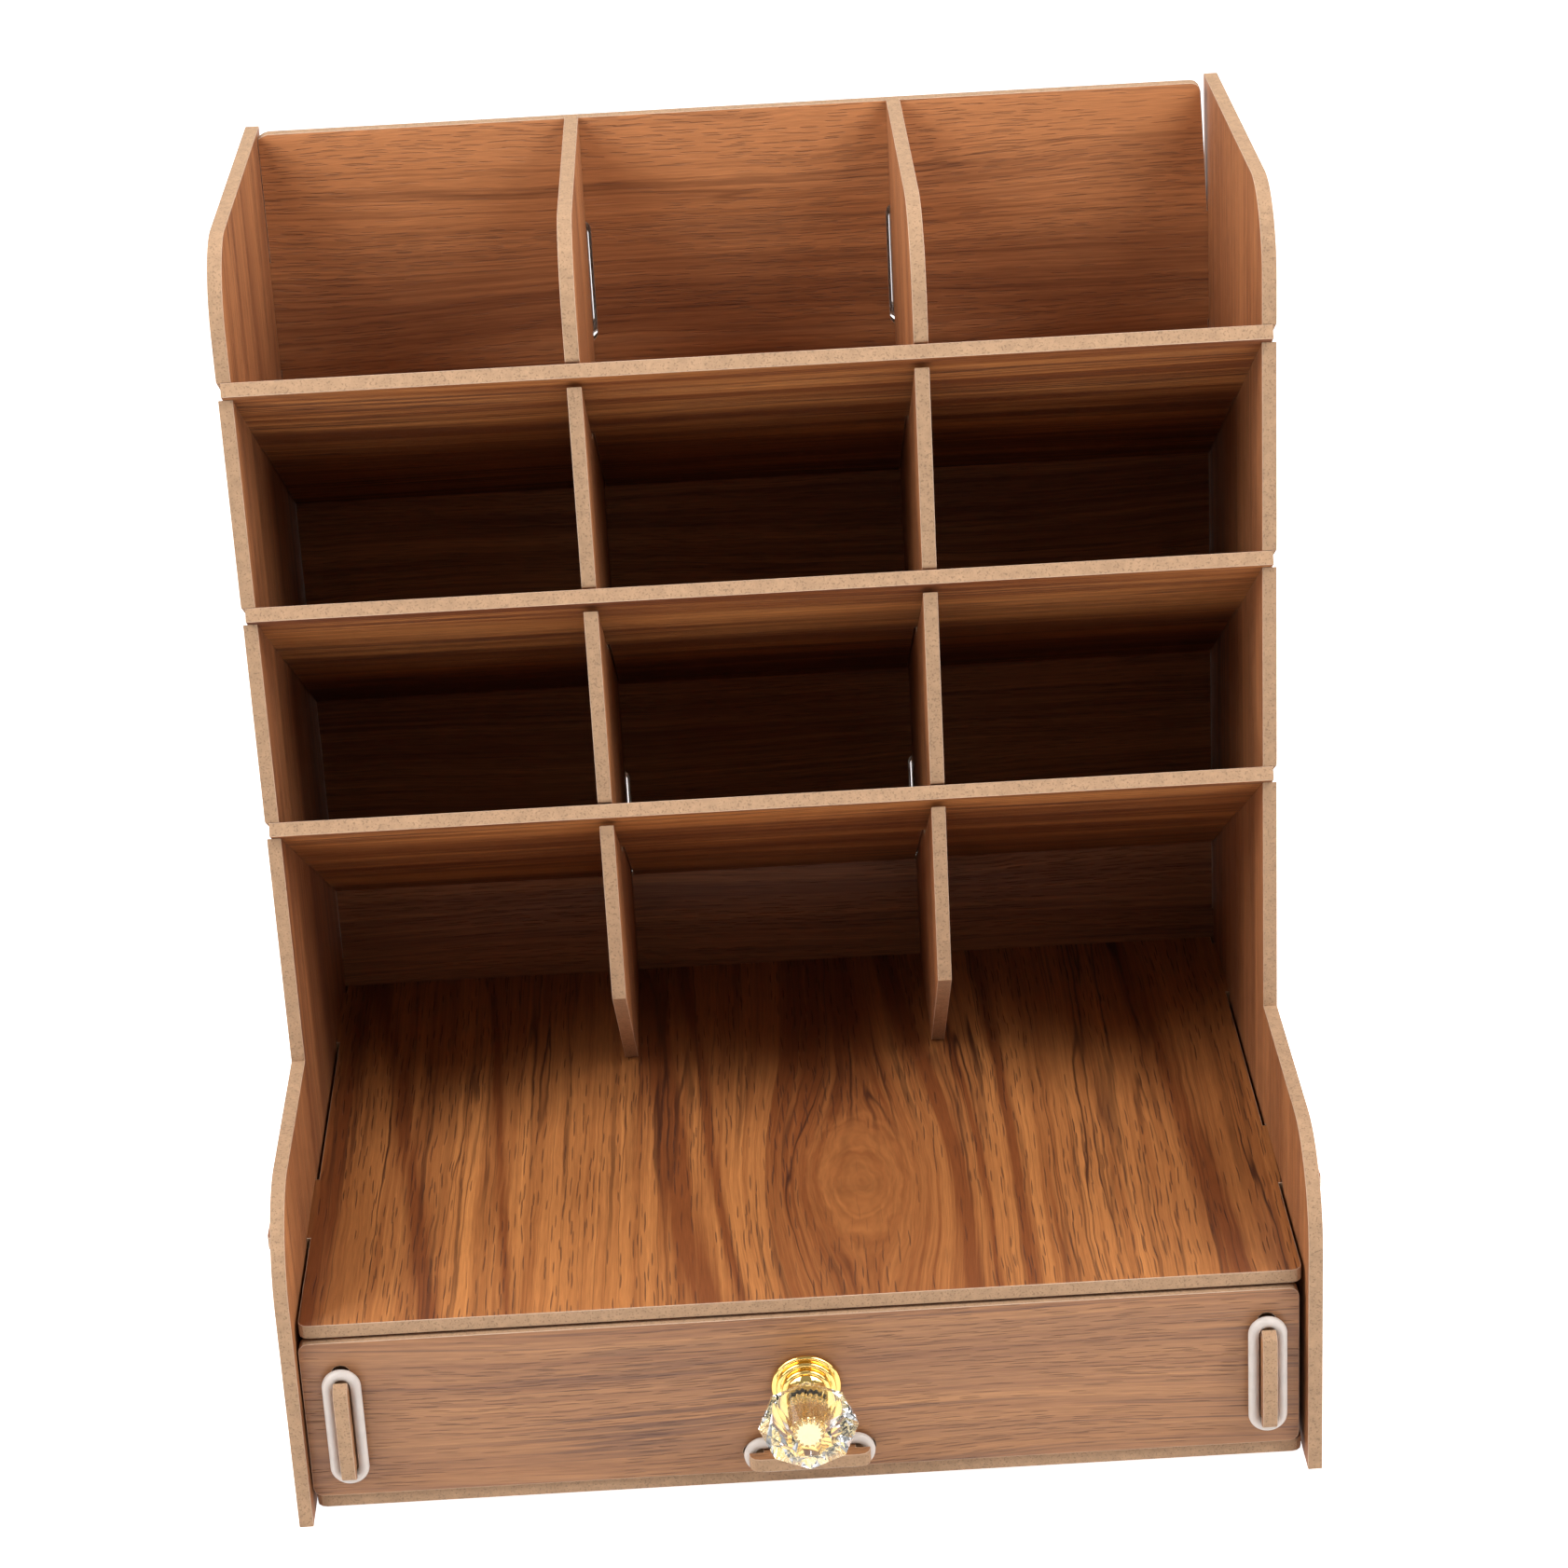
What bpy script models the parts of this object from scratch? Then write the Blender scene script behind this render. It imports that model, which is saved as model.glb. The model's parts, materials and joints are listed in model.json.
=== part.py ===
"""Desk pen organizer of slotted boards, held by elastic rings on tabs, with one drawer.

Metres, +Z up. The front faces -Y, and the origin is under the middle of the whole object.
"""

import math

import bmesh
import bpy
from mathutils import Vector
from mathutils.geometry import tessellate_polygon

# Boards and the play between them
board = 0.0035
fit_gap = 0.0003

# Cabinet
cabinet_width = 0.250
cabinet_height = 0.298
cabinet_depth = 0.192
upper_depth = 0.112
lobe_height = 0.086
top_corner_radius = 0.020
lobe_corner_radius = 0.025
base_board_lift = 0.0025
tray_top = 0.054
shelf_setback = 0.0045
shelf_side_gap = 0.0008
shelf_corner_radius = 0.0025
back_inset = 0.0035
back_top_drop = 0.0005
back_left_gap = 0.0004
back_right_gap = 0.0004
back_right_top_gap = 0.0017
back_corner_radius = 0.0023

# Row dividers, which slope down to the back
row_count = 3
row_angle = math.radians(32.0)
row_end_setback = 0.001
row_lap = 0.060
top_tier_rise = 0.0315
bottom_tier_rise = 0.0985
side_notch_top_play = 0.0005
side_notch_play = 0.0007
column_notch_top_play = 0.0004
column_notch_play = 0.0015
notch_lip_radius = 0.002
row_slot_play = 0.0004

# Column dividers
column_count = 2
column_bend_rise = 0.0445
column_foot_depth = 0.053

# Tabs, their slots and the elastic rings
tab_length = 0.0295
tab_reach = 0.0066
tab_groove = 0.0035
tab_tip_radius = 0.0026
slot_side_play = 0.0005
column_slot_side_play = 0.0011
slot_end_play = 0.00145
slot_corner_radius = 0.0022
ring_cord = 0.0027

# Places of the tabs: from the tops, from the tray's top, or from the side panels' back edge
column_tab_drop = 0.044
column_tab_rise = 0.0445
back_tab_drop = 0.049
back_tab_lift = 0.048
rear_tab_depth = 0.0265
tray_front_tab_depth = 0.131
base_front_tab_depth = 0.100

# Drawer
drawer_left_play = 0.0005
drawer_right_play = 0.0017
drawer_top_play = 0.0009
drawer_proud = 0.001
drawer_box_shift = 0.0003
drawer_corner_radius = 0.0023
drawer_side_inset = 0.007
drawer_side_height = 0.041
drawer_floor_lift = 0.0040
drawer_tab_lift = 0.0209
drawer_tab_trim = 0.00145
drawer_rear_play = 0.0015
drawer_floor_tab_depth = 0.085

# Knob, with lengths measured forward from the drawer's face
knob_lift = 0.0246
screw_hole_radius = 0.0022
screw_radius = 0.0015
screw_reach = 0.0155
screw_head_radius = 0.0036
screw_head_height = 0.0020
flange_radius = 0.0085
flange_height = 0.0014
step_radius = 0.0073
step_height = 0.0013
collar_radius = 0.0060
collar_height = 0.0014
neck_radius = 0.0043
neck_height = 0.0042
cup_radius = 0.0056
cup_height = 0.0012
crystal_back_radius = 0.0064
crystal_girdle_radius = 0.0119
crystal_table_radius = 0.0056
crystal_pavilion = 0.0078
crystal_girdle = 0.0012
crystal_crown = 0.0044
insert_radius = 0.0040
insert_flute = 0.0003
insert_length = 0.0110

# How finely round stretches are drawn
arc_step = 0.0015
fewest_arc_steps = 3
ring_end_steps = 8
ring_sides = 8
turned_steps = 24
crystal_sides = 8
flute_count = 14

# Heights
base_top = base_board_lift + board
drawer_floor_bottom = base_top + drawer_floor_lift + fit_gap
tray_bottom = tray_top - board
row_pitch = (cabinet_height - tray_top - bottom_tier_rise - top_tier_rise) / (row_count - 1)
row_front_heights = [cabinet_height - top_tier_rise - index * row_pitch for index in range(row_count)]

# Places across, left to right
half_width = cabinet_width / 2
half_inner = half_width - board
column_pitch = (2 * half_inner - column_count * board) / (column_count + 1) + board
column_places = [(index - (column_count - 1) / 2) * column_pitch for index in range(column_count)]
drawer_left = -half_inner + drawer_left_play
drawer_right = half_inner - drawer_right_play
drawer_middle = drawer_box_shift
drawer_side_place = (drawer_right - drawer_left) / 2 - drawer_side_inset - board / 2

# Lengths of the pieces on the knob's axis
rosette_length = flange_height + step_height + collar_height + neck_height + cup_height
crystal_length = crystal_pavilion + crystal_girdle + crystal_crown
crystal_start = 2 * fit_gap + rosette_length
knob_reach = crystal_start + crystal_length

# Places from front to back
drawer_face_depth = cabinet_depth - shelf_setback + drawer_proud
tab_overhang = tab_reach - back_inset
back_edge = (drawer_face_depth + knob_reach + tab_overhang) / 2 - tab_overhang
low_front = back_edge - cabinet_depth
high_front = back_edge - upper_depth
shelf_front = low_front + shelf_setback
back_rear_face = back_edge - back_inset
back_face = back_rear_face - board
shelf_rear = back_face - fit_gap
drawer_face = back_edge - drawer_face_depth
drawer_box_front = drawer_face + board + fit_gap
drawer_rear_face = back_face - tab_reach - drawer_rear_play
drawer_box_rear = drawer_rear_face - board - fit_gap

# Directions in the plane of a side panel: along a sloping board, and out of its top
slope = Vector((math.cos(row_angle), -math.sin(row_angle)))
slope_normal = Vector((math.sin(row_angle), math.cos(row_angle)))

# Turns that take a board from the level to its plane
level = (0.0, 0.0, 0.0)
upright_across = (math.radians(90.0), 0.0, 0.0)
upright_along = (math.radians(90.0), 0.0, math.radians(90.0))

# Turns of a ring whose long way starts along X and whose plane starts level
ring_upright_across = (0.0, math.radians(90.0), math.radians(90.0))
ring_upright_along = (0.0, math.radians(90.0), 0.0)
ring_level_along = (math.radians(90.0), 0.0, math.radians(90.0))

# Edges that turn by more than this stay sharp
smooth_angle = math.radians(30.0)

wood = ((0.42, 0.22, 0.11), 0.45, 0.0)
tray_wood = ((0.50, 0.24, 0.09), 0.42, 0.0)
silicone = ((0.86, 0.82, 0.80), 0.30, 0.0)
gold = ((0.90, 0.62, 0.18), 0.18, 1.0)
acrylic = ((0.92, 0.94, 0.95), 0.03, 0.0)
steel = ((0.62, 0.62, 0.60), 0.30, 1.0)


def clear_scene():
    """Remove what the open file holds."""
    for item in list(bpy.data.objects):
        bpy.data.objects.remove(item, do_unlink=True)


def finished(name, mesh, look, location, rotation=level, parent=None):
    """Place a mesh as one named piece with its own material."""
    colour, roughness, metallic = look
    material = bpy.data.materials.new(name)
    material.use_nodes = True
    shader = material.node_tree.nodes["Principled BSDF"]
    shader.inputs["Base Color"].default_value = (*colour, 1.0)
    shader.inputs["Roughness"].default_value = roughness
    shader.inputs["Metallic"].default_value = metallic
    mesh.materials.append(material)
    piece = bpy.data.objects.new(name, mesh)
    piece.location = location
    piece.rotation_euler = rotation
    piece.parent = parent
    bpy.context.scene.collection.objects.link(piece)
    return piece


def new_mesh(name, shape):
    """Turn a bmesh into a mesh with its faces pointing out."""
    bmesh.ops.recalc_face_normals(shape, faces=shape.faces)
    mesh = bpy.data.meshes.new(name)
    shape.to_mesh(mesh)
    shape.free()
    return mesh


def rounded(corners):
    """Outline through corners (x, y, radius), with an arc at each corner that has a radius."""
    points = []
    for index, (x, y, radius) in enumerate(corners):
        corner = Vector((x, y))
        before = Vector(corners[index - 1][:2]) - corner
        after = Vector(corners[(index + 1) % len(corners)][:2]) - corner
        if radius == 0:
            points.append(corner)
            continue
        before.normalize()
        after.normalize()
        half_angle = before.angle(after) / 2
        centre = corner + (before + after).normalized() * (radius / math.sin(half_angle))
        start = corner + before * (radius / math.tan(half_angle)) - centre
        end = corner + after * (radius / math.tan(half_angle)) - centre
        sweep = start.angle_signed(end)
        steps = max(fewest_arc_steps, round(abs(sweep) * radius / arc_step))
        for step in range(steps + 1):
            turn = -sweep * step / steps
            points.append(centre + Vector((
                start.x * math.cos(turn) - start.y * math.sin(turn),
                start.x * math.sin(turn) + start.y * math.cos(turn))))
    return points


def tab_slot(x, y, upright, side_play=slot_side_play):
    """Outline of the round-ended slot for a tab, upright or lying."""
    half_long = tab_length / 2 + slot_end_play
    half_wide = board / 2 + side_play
    half_x, half_y = (half_wide, half_long) if upright else (half_long, half_wide)
    radius = slot_corner_radius
    corners = [(x - half_x, y - half_y, radius), (x + half_x, y - half_y, radius),
               (x + half_x, y + half_y, radius), (x - half_x, y + half_y, radius)]
    return rounded(corners)


def round_hole(x, y, radius):
    """Round hole outline about a point."""
    turns = [math.tau * step / turned_steps for step in range(turned_steps)]
    return [Vector((x + radius * math.cos(turn), y + radius * math.sin(turn))) for turn in turns]


def hooked_tab(start, end, place, gap, trim=0):
    """Corners of a tab that passes a board and ends in a head with a groove for a ring.

    The tab stands out to the right of the way from start to end, with its middle at place
    along it, and gap is the play between this edge and the board that the tab passes.
    A trim shortens the tab at both ends and leaves its neck as it is.
    """
    through = gap + board
    groove_end = through + ring_cord + 2 * fit_gap
    tip = through + tab_reach
    half = tab_length / 2 - trim
    neck = tab_length / 2 - tab_groove
    steps = [(-half, 0.0, 0.0), (-half, through, 0.0), (-neck, through, 0.0),
             (-neck, groove_end, 0.0), (-half, groove_end, 0.0), (-half, tip, tab_tip_radius)]
    steps += [(-along, out, radius) for along, out, radius in reversed(steps)]
    return on_edge(start, end, place, steps)


def plain_tab(start, end, place, gap):
    """Corners of a tab that ends level with the far face of the board it passes."""
    half = tab_length / 2
    tip = gap + board
    steps = [(-half, 0.0, 0.0), (-half, tip, 0.0), (half, tip, 0.0), (half, 0.0, 0.0)]
    return on_edge(start, end, place, steps)


def on_edge(start, end, place, steps):
    """Move steps (along, out, radius) from a point on an edge to the outline's own plane."""
    along = (Vector(end) - Vector(start)).normalized()
    out = Vector((along.y, -along.x))
    origin = Vector(start) + along * place
    return [(*(origin + along * step[0] + out * step[1]), step[2]) for step in steps]


def board_mesh(name, outline, holes=()):
    """Flat board about its own middle plane, from an outline and its holes."""
    loops = [list(outline)] + [list(hole) for hole in holes]
    points = [point for loop in loops for point in loop]
    flat_loops = [[Vector((point.x, point.y, 0.0)) for point in loop] for loop in loops]
    triangles = tessellate_polygon(flat_loops)
    shape = bmesh.new()
    lower = [shape.verts.new((point.x, point.y, -board / 2)) for point in points]
    upper = [shape.verts.new((point.x, point.y, board / 2)) for point in points]
    for triangle in triangles:
        shape.faces.new([upper[index] for index in triangle])
        shape.faces.new([lower[index] for index in reversed(triangle)])
    first = 0
    for loop in loops:
        count = len(loop)
        for index in range(count):
            here = first + index
            after = first + (index + 1) % count
            shape.faces.new([lower[here], lower[after], upper[after], upper[here]])
        first += count
    return new_mesh(name, shape)


def turned_mesh(name, profile, steps=turned_steps):
    """Closed profile (along, radius, flute) turned about the local Z axis.

    A profile that starts and ends on the axis is solid, and any other has a bore.
    Every other point of a fluted round lies deeper by its flute.
    """
    shape = bmesh.new()
    rings = []
    for along, radius, flute in profile:
        if radius == 0:
            rings.append([shape.verts.new((0.0, 0.0, along))] * steps)
            continue
        ring = []
        for step in range(steps):
            turn = math.tau * step / steps
            reach = radius - flute * (step % 2)
            ring.append(shape.verts.new((reach * math.cos(turn), reach * math.sin(turn), along)))
        rings.append(ring)
    pairs = list(zip(rings, rings[1:]))
    if profile[0][1] > 0:
        pairs.append((rings[-1], rings[0]))
    for here, after in pairs:
        for step in range(steps):
            ahead = (step + 1) % steps
            corners = [here[step], here[ahead], after[ahead], after[step]]
            shape.faces.new(list(dict.fromkeys(corners)))
    mesh = new_mesh(name, shape)
    mesh.shade_smooth()
    mesh.set_sharp_from_angle(angle=smooth_angle)
    return mesh


def ring_mesh(name):
    """Elastic ring round a tab's neck, its long way along X, on the plane of its cord."""
    half_breadth = board / 2 + fit_gap + ring_cord / 2
    half_straight = tab_length / 2 - tab_groove
    shape = bmesh.new()
    loops = []
    for end in (1, -1):
        for step in range(ring_end_steps + 1):
            bend = math.pi * (step / ring_end_steps - 1 / 2)
            out = Vector((math.cos(bend), math.sin(bend))) * end
            middle = Vector((end * half_straight, 0.0)) + out * half_breadth
            loop = []
            for side in range(ring_sides):
                turn = math.tau * (side + 1 / 2) / ring_sides
                place = middle + out * (ring_cord / 2 * math.cos(turn))
                loop.append(shape.verts.new((place.x, place.y, ring_cord / 2 * math.sin(turn))))
            loops.append(loop)
    for index, loop in enumerate(loops):
        after = loops[(index + 1) % len(loops)]
        for side in range(ring_sides):
            ahead = (side + 1) % ring_sides
            shape.faces.new([loop[side], loop[ahead], after[ahead], after[side]])
    mesh = new_mesh(name, shape)
    mesh.shade_smooth()
    return mesh


def notch(front, height, top_play, play):
    """Corners of a slanted notch in a front edge, from its upper lip down to its lower lip."""
    lip = Vector((front, height))
    depth = row_lap + fit_gap
    upper_lip = height + top_play / math.cos(row_angle)
    lower_lip = height - (board + play) / math.cos(row_angle)
    upper_end = lip + slope_normal * top_play + slope * depth
    lower_end = lip - slope_normal * (board + play) + slope * depth
    return [(front, upper_lip, notch_lip_radius), (*upper_end, 0.0),
            (*lower_end, 0.0), (front, lower_lip, 0.0)]


def notches(front, top_play, play):
    """Corners of the notches for all the row dividers, from the top one down."""
    corners = []
    for height in row_front_heights:
        corners += notch(front, height, top_play, play)
    return corners


def side_panels():
    """Two like side panels, with notches in front and slots for the other boards' tabs."""
    corners = [(low_front, 0.0, 0.0), (back_edge, 0.0, 0.0), (back_edge, cabinet_height, 0.0),
               (high_front, cabinet_height, top_corner_radius)]
    corners += notches(high_front, side_notch_top_play, side_notch_play)
    corners += [(high_front, lobe_height, 0.0), (low_front, lobe_height, lobe_corner_radius)]
    rear_tab = back_edge - rear_tab_depth
    back_middle = back_face + board / 2
    tray_middle = tray_top - board / 2
    base_middle = base_top - board / 2
    holes = [
        tab_slot(back_middle, cabinet_height - back_tab_drop, True),
        tab_slot(back_middle, back_tab_lift, True),
        tab_slot(rear_tab, tray_middle, False),
        tab_slot(back_edge - tray_front_tab_depth, tray_middle, False),
        tab_slot(rear_tab, base_middle, False),
        tab_slot(back_edge - base_front_tab_depth, base_middle, False),
    ]
    outline = rounded(corners)
    for name, side in (("left_side_panel", -1), ("right_side_panel", 1)):
        mesh = board_mesh(name, outline, holes)
        finished(name, mesh, wood, (side * (half_width - board / 2), 0.0, 0.0), upright_along)


def back_panel():
    """Back panel, with a hooked tab through each side panel at two heights.

    Its right edge draws in above the upper tab, where the side panel stands away from it.
    """
    left = -half_inner + back_left_gap
    right = half_inner - back_right_gap
    right_top = half_inner - back_right_top_gap
    low, high = base_board_lift, cabinet_height - back_top_drop
    tab_heights = (back_tab_lift, cabinet_height - back_tab_drop)
    corners = [(left, low, 0.0), (right, low, 0.0)]
    for height in tab_heights:
        corners += hooked_tab((right, low), (right, high), height - low, back_right_gap)
    corners += [(right_top, high, back_corner_radius), (left, high, back_corner_radius)]
    for height in reversed(tab_heights):
        corners += hooked_tab((left, high), (left, low), high - height, back_left_gap)
    holes = [tab_slot(place, height, True, column_slot_side_play)
             for place in column_places for height in column_tab_heights()]
    mesh = board_mesh("back_panel", rounded(corners), holes)
    finished("back_panel", mesh, wood, (0.0, back_face + board / 2, 0.0), upright_across)


def column_tab_heights():
    """Middles of the column dividers' tabs, the lower one first."""
    return tray_top + column_tab_rise, cabinet_height - column_tab_drop


def column_dividers():
    """Upright dividers, notched in front, tabbed through the back panel, cut back at the foot."""
    low, high = tray_top + fit_gap, cabinet_height
    foot = back_face - column_foot_depth
    corners = [(foot, low, 0.0), (shelf_rear, low, 0.0)]
    for height in column_tab_heights():
        corners += hooked_tab((shelf_rear, low), (shelf_rear, high), height - low, fit_gap)
    corners += [(shelf_rear, high, 0.0), (high_front, high, top_corner_radius)]
    corners += notches(high_front, column_notch_top_play, column_notch_play)
    corners += [(high_front, tray_top + column_bend_rise, 0.0)]
    outline = rounded(corners)
    for name, place in zip(("left_column_divider", "right_column_divider"), column_places):
        finished(name, board_mesh(name, outline), wood, (place, 0.0, 0.0), upright_along)


def row_dividers():
    """Sloping dividers, full width in front of the laps and slotted behind them."""
    wide = half_width - row_end_setback
    narrow = half_inner - fit_gap
    length = (shelf_rear - high_front) / math.cos(row_angle)
    lap = row_lap - fit_gap
    half_slot = board / 2 + row_slot_play
    corners = [(-wide, 0.0, 0.0), (wide, 0.0, 0.0),
               (wide, lap, 0.0), (narrow, lap, 0.0), (narrow, length, 0.0)]
    for place in reversed(column_places):
        corners += [(place + half_slot, length, 0.0), (place + half_slot, lap, 0.0),
                    (place - half_slot, lap, 0.0), (place - half_slot, length, 0.0)]
    corners += [(-narrow, length, 0.0), (-narrow, lap, 0.0), (-wide, lap, 0.0)]
    outline = rounded(corners)
    names = ("row_divider_top", "row_divider_middle", "row_divider_bottom")
    for name, height in zip(names, row_front_heights):
        middle = Vector((high_front, height)) - slope_normal * (board / 2)
        finished(name, board_mesh(name, outline), wood, (0.0, *middle), (-row_angle, 0.0, 0.0))


def shelf(name, look, height, edge_tab, front_depth):
    """Level board between the side panels, with two tabs through each of them."""
    side = half_inner - shelf_side_gap
    front, rear = shelf_front, shelf_rear
    front_place = back_edge - front_depth - front
    rear_place = back_edge - rear_tab_depth - front
    corners = [(-side, front, shelf_corner_radius), (side, front, shelf_corner_radius)]
    corners += edge_tab((side, front), (side, rear), front_place, shelf_side_gap)
    corners += edge_tab((side, front), (side, rear), rear_place, shelf_side_gap)
    corners += [(side, rear, 0.0), (-side, rear, 0.0)]
    span = rear - front
    corners += edge_tab((-side, rear), (-side, front), span - rear_place, shelf_side_gap)
    corners += edge_tab((-side, rear), (-side, front), span - front_place, shelf_side_gap)
    mesh = board_mesh(name, rounded(corners))
    finished(name, mesh, look, (0.0, 0.0, height - board / 2))


def drawer_plate(name, top, slide, face, holes=()):
    """Upright board across the drawer, slotted for the side boards and the drawer's floor."""
    low = base_top + fit_gap
    left, right = drawer_left - drawer_middle, drawer_right - drawer_middle
    corners = [(left, low, drawer_corner_radius), (right, low, drawer_corner_radius),
               (right, top, drawer_corner_radius), (left, top, drawer_corner_radius)]
    slots = [tab_slot(side * drawer_side_place, base_top + drawer_tab_lift, True) for side in (-1, 1)]
    slots.append(tab_slot(0.0, drawer_floor_bottom + board / 2, False))
    mesh = board_mesh(name, rounded(corners), slots + list(holes))
    finished(name, mesh, wood, (0.0, face + board / 2 - drawer_face, 0.0), upright_across, slide)


def drawer_boards(slide):
    """Front, back, two sides and floor of the drawer, placed from the slide's own point."""
    low = base_top + fit_gap
    side_top = low + drawer_side_height
    front, rear = drawer_box_front - drawer_face, drawer_box_rear - drawer_face
    screw_hole = round_hole(0.0, base_top + knob_lift, screw_hole_radius)
    drawer_plate("drawer_front", tray_bottom - drawer_top_play, slide, drawer_face, [screw_hole])
    drawer_plate("drawer_back", side_top, slide, drawer_rear_face - board)

    tab_height = base_top + drawer_tab_lift
    side_corners = [(front, low, 0.0), (rear, low, 0.0)]
    rear_place, front_place = tab_height - low, side_top - tab_height
    side_corners += hooked_tab((rear, low), (rear, side_top), rear_place, fit_gap, drawer_tab_trim)
    side_corners += [(rear, side_top, 0.0), (front, side_top, 0.0)]
    side_corners += hooked_tab((front, side_top), (front, low), front_place, fit_gap, drawer_tab_trim)
    floor_middle = drawer_floor_bottom + board / 2
    floor_slot = tab_slot(front + drawer_floor_tab_depth, floor_middle, False)
    outline = rounded(side_corners)
    for name, side in (("drawer_left_side", -1), ("drawer_right_side", 1)):
        mesh = board_mesh(name, outline, [floor_slot])
        finished(name, mesh, wood, (side * drawer_side_place, 0.0, 0.0), upright_along, slide)

    edge = drawer_side_place - board / 2 - fit_gap
    span = rear - front
    corners = [(-edge, front, 0.0)]
    corners += hooked_tab((-edge, front), (edge, front), edge, fit_gap)
    corners += [(edge, front, 0.0)]
    corners += plain_tab((edge, front), (edge, rear), drawer_floor_tab_depth, fit_gap)
    corners += [(edge, rear, 0.0)]
    corners += hooked_tab((edge, rear), (-edge, rear), edge, fit_gap)
    corners += [(-edge, rear, 0.0)]
    corners += plain_tab((-edge, rear), (-edge, front), span - drawer_floor_tab_depth, fit_gap)
    mesh = board_mesh("drawer_bottom", rounded(corners))
    finished("drawer_bottom", mesh, wood, (0.0, 0.0, floor_middle), level, slide)


def elastic_rings(slide):
    """One ring on each hooked tab, lying on the board that the tab comes through."""
    off = fit_gap + ring_cord / 2
    back_plane = back_rear_face + off
    for level_name, height in zip(("lower", "upper"), column_tab_heights()):
        for side_name, place in zip(("left", "right"), column_places):
            name = f"column_ring_{side_name}_{level_name}"
            finished(name, ring_mesh(name), silicone, (place, back_plane, height), ring_upright_across)

    outside = half_width + off
    back_middle = back_face + board / 2
    tray_middle = tray_top - board / 2
    side_places = {
        "back_ring_{}_upper": (back_middle, cabinet_height - back_tab_drop, ring_upright_along),
        "back_ring_{}_lower": (back_middle, back_tab_lift, ring_upright_along),
        "tray_ring_{}_front": (back_edge - tray_front_tab_depth, tray_middle, ring_level_along),
        "tray_ring_{}_rear": (back_edge - rear_tab_depth, tray_middle, ring_level_along),
    }
    for pattern, (depth, height, turn) in side_places.items():
        for side_name, side in (("left", -1), ("right", 1)):
            name = pattern.format(side_name)
            finished(name, ring_mesh(name), silicone, (side * outside, depth, height), turn)

    tab_height = base_top + drawer_tab_lift
    floor_middle = drawer_floor_bottom + board / 2
    planes = {"front": -off, "rear": drawer_rear_face - drawer_face + off}
    for plane_name, plane in planes.items():
        for side_name, side in (("left", -1), ("right", 1)):
            name = f"drawer_ring_{plane_name}_{side_name}"
            place = (side * drawer_side_place, plane, tab_height)
            finished(name, ring_mesh(name), silicone, place, ring_upright_across, slide)
        name = f"drawer_ring_{plane_name}_floor"
        finished(name, ring_mesh(name), silicone, (0.0, plane, floor_middle), upright_across, slide)


def crystal_mesh():
    """Clear knob of flat facets, with a blind bore for the insert."""
    bore = insert_radius + fit_gap
    bore_end = insert_length + 2 * fit_gap
    outer = [(0.0, crystal_back_radius, 1), (crystal_pavilion, crystal_girdle_radius, 0),
             (crystal_pavilion + crystal_girdle, crystal_girdle_radius, 0),
             (crystal_length, crystal_table_radius, 1)]
    count = 2 * crystal_sides
    shape = bmesh.new()

    def ring(along, radius, dented):
        """Ring with corners at the even points, or at the odd ones, or round if dented is None."""
        verts = []
        for step in range(count):
            turn = math.tau * step / count
            flat = dented is not None and step % 2 != dented
            reach = radius * math.cos(math.pi / crystal_sides) if flat else radius
            verts.append(shape.verts.new((reach * math.cos(turn), reach * math.sin(turn), along)))
        return verts

    rings = [ring(0.0, bore, None)] + [ring(*values) for values in outer]
    for here, after in zip(rings, rings[1:]):
        for step in range(count):
            ahead = (step + 1) % count
            shape.faces.new([here[step], here[ahead], after[ahead]])
            shape.faces.new([here[step], after[ahead], after[step]])
    shape.faces.new(rings[-1])
    bottom = ring(bore_end, bore, None)
    for step in range(count):
        ahead = (step + 1) % count
        shape.faces.new([rings[0][ahead], rings[0][step], bottom[step], bottom[ahead]])
    shape.faces.new(list(reversed(bottom)))
    bmesh.ops.triangulate(shape, faces=shape.faces)
    return new_mesh("knob_crystal", shape)


def knob(slide):
    """Rosette, clear knob, fluted insert and the screw that holds them, on one axis."""
    height = base_top + knob_lift

    def on_axis(name, mesh, look, along):
        """Place a piece this far in front of the drawer's face."""
        finished(name, mesh, look, (0.0, -along, height), upright_across, slide)

    bore = screw_hole_radius
    radii = (flange_radius, step_radius, collar_radius, neck_radius, cup_radius)
    heights = (flange_height, step_height, collar_height, neck_height, cup_height)
    profile = [(0.0, bore, 0.0)]
    along = 0.0
    for radius, rise in zip(radii, heights):
        soft = min(rise, radius - bore) / 3
        profile += [(along, radius - soft, 0.0), (along + soft, radius, 0.0),
                    (along + rise - soft, radius, 0.0), (along + rise, radius - soft, 0.0)]
        along += rise
    profile.append((along, bore, 0.0))
    on_axis("knob_rosette", turned_mesh("knob_rosette", profile), gold, fit_gap)
    on_axis("knob_crystal", crystal_mesh(), acrylic, crystal_start)

    insert_start = crystal_start + fit_gap
    thread = screw_radius + fit_gap
    thread_end = screw_reach + fit_gap - insert_start
    profile = [(thread_end, 0.0, 0.0), (thread_end, thread, 0.0), (0.0, thread, 0.0),
               (0.0, insert_radius, insert_flute), (insert_length, insert_radius, insert_flute),
               (insert_length, 0.0, 0.0)]
    mesh = turned_mesh("knob_insert", profile, 2 * flute_count)
    on_axis("knob_insert", mesh, gold, insert_start)

    head_face = -board - fit_gap
    head_end = head_face - screw_head_height
    rim = screw_head_height / 4
    profile = [(head_end, 0.0, 0.0), (head_end, screw_head_radius - rim, 0.0),
               (head_end + rim, screw_head_radius, 0.0), (head_face, screw_head_radius, 0.0),
               (head_face, screw_radius, 0.0), (screw_reach - screw_radius, screw_radius, 0.0),
               (screw_reach, 0.0, 0.0)]
    on_axis("knob_screw", turned_mesh("knob_screw", profile), steel, 0.0)


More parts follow.
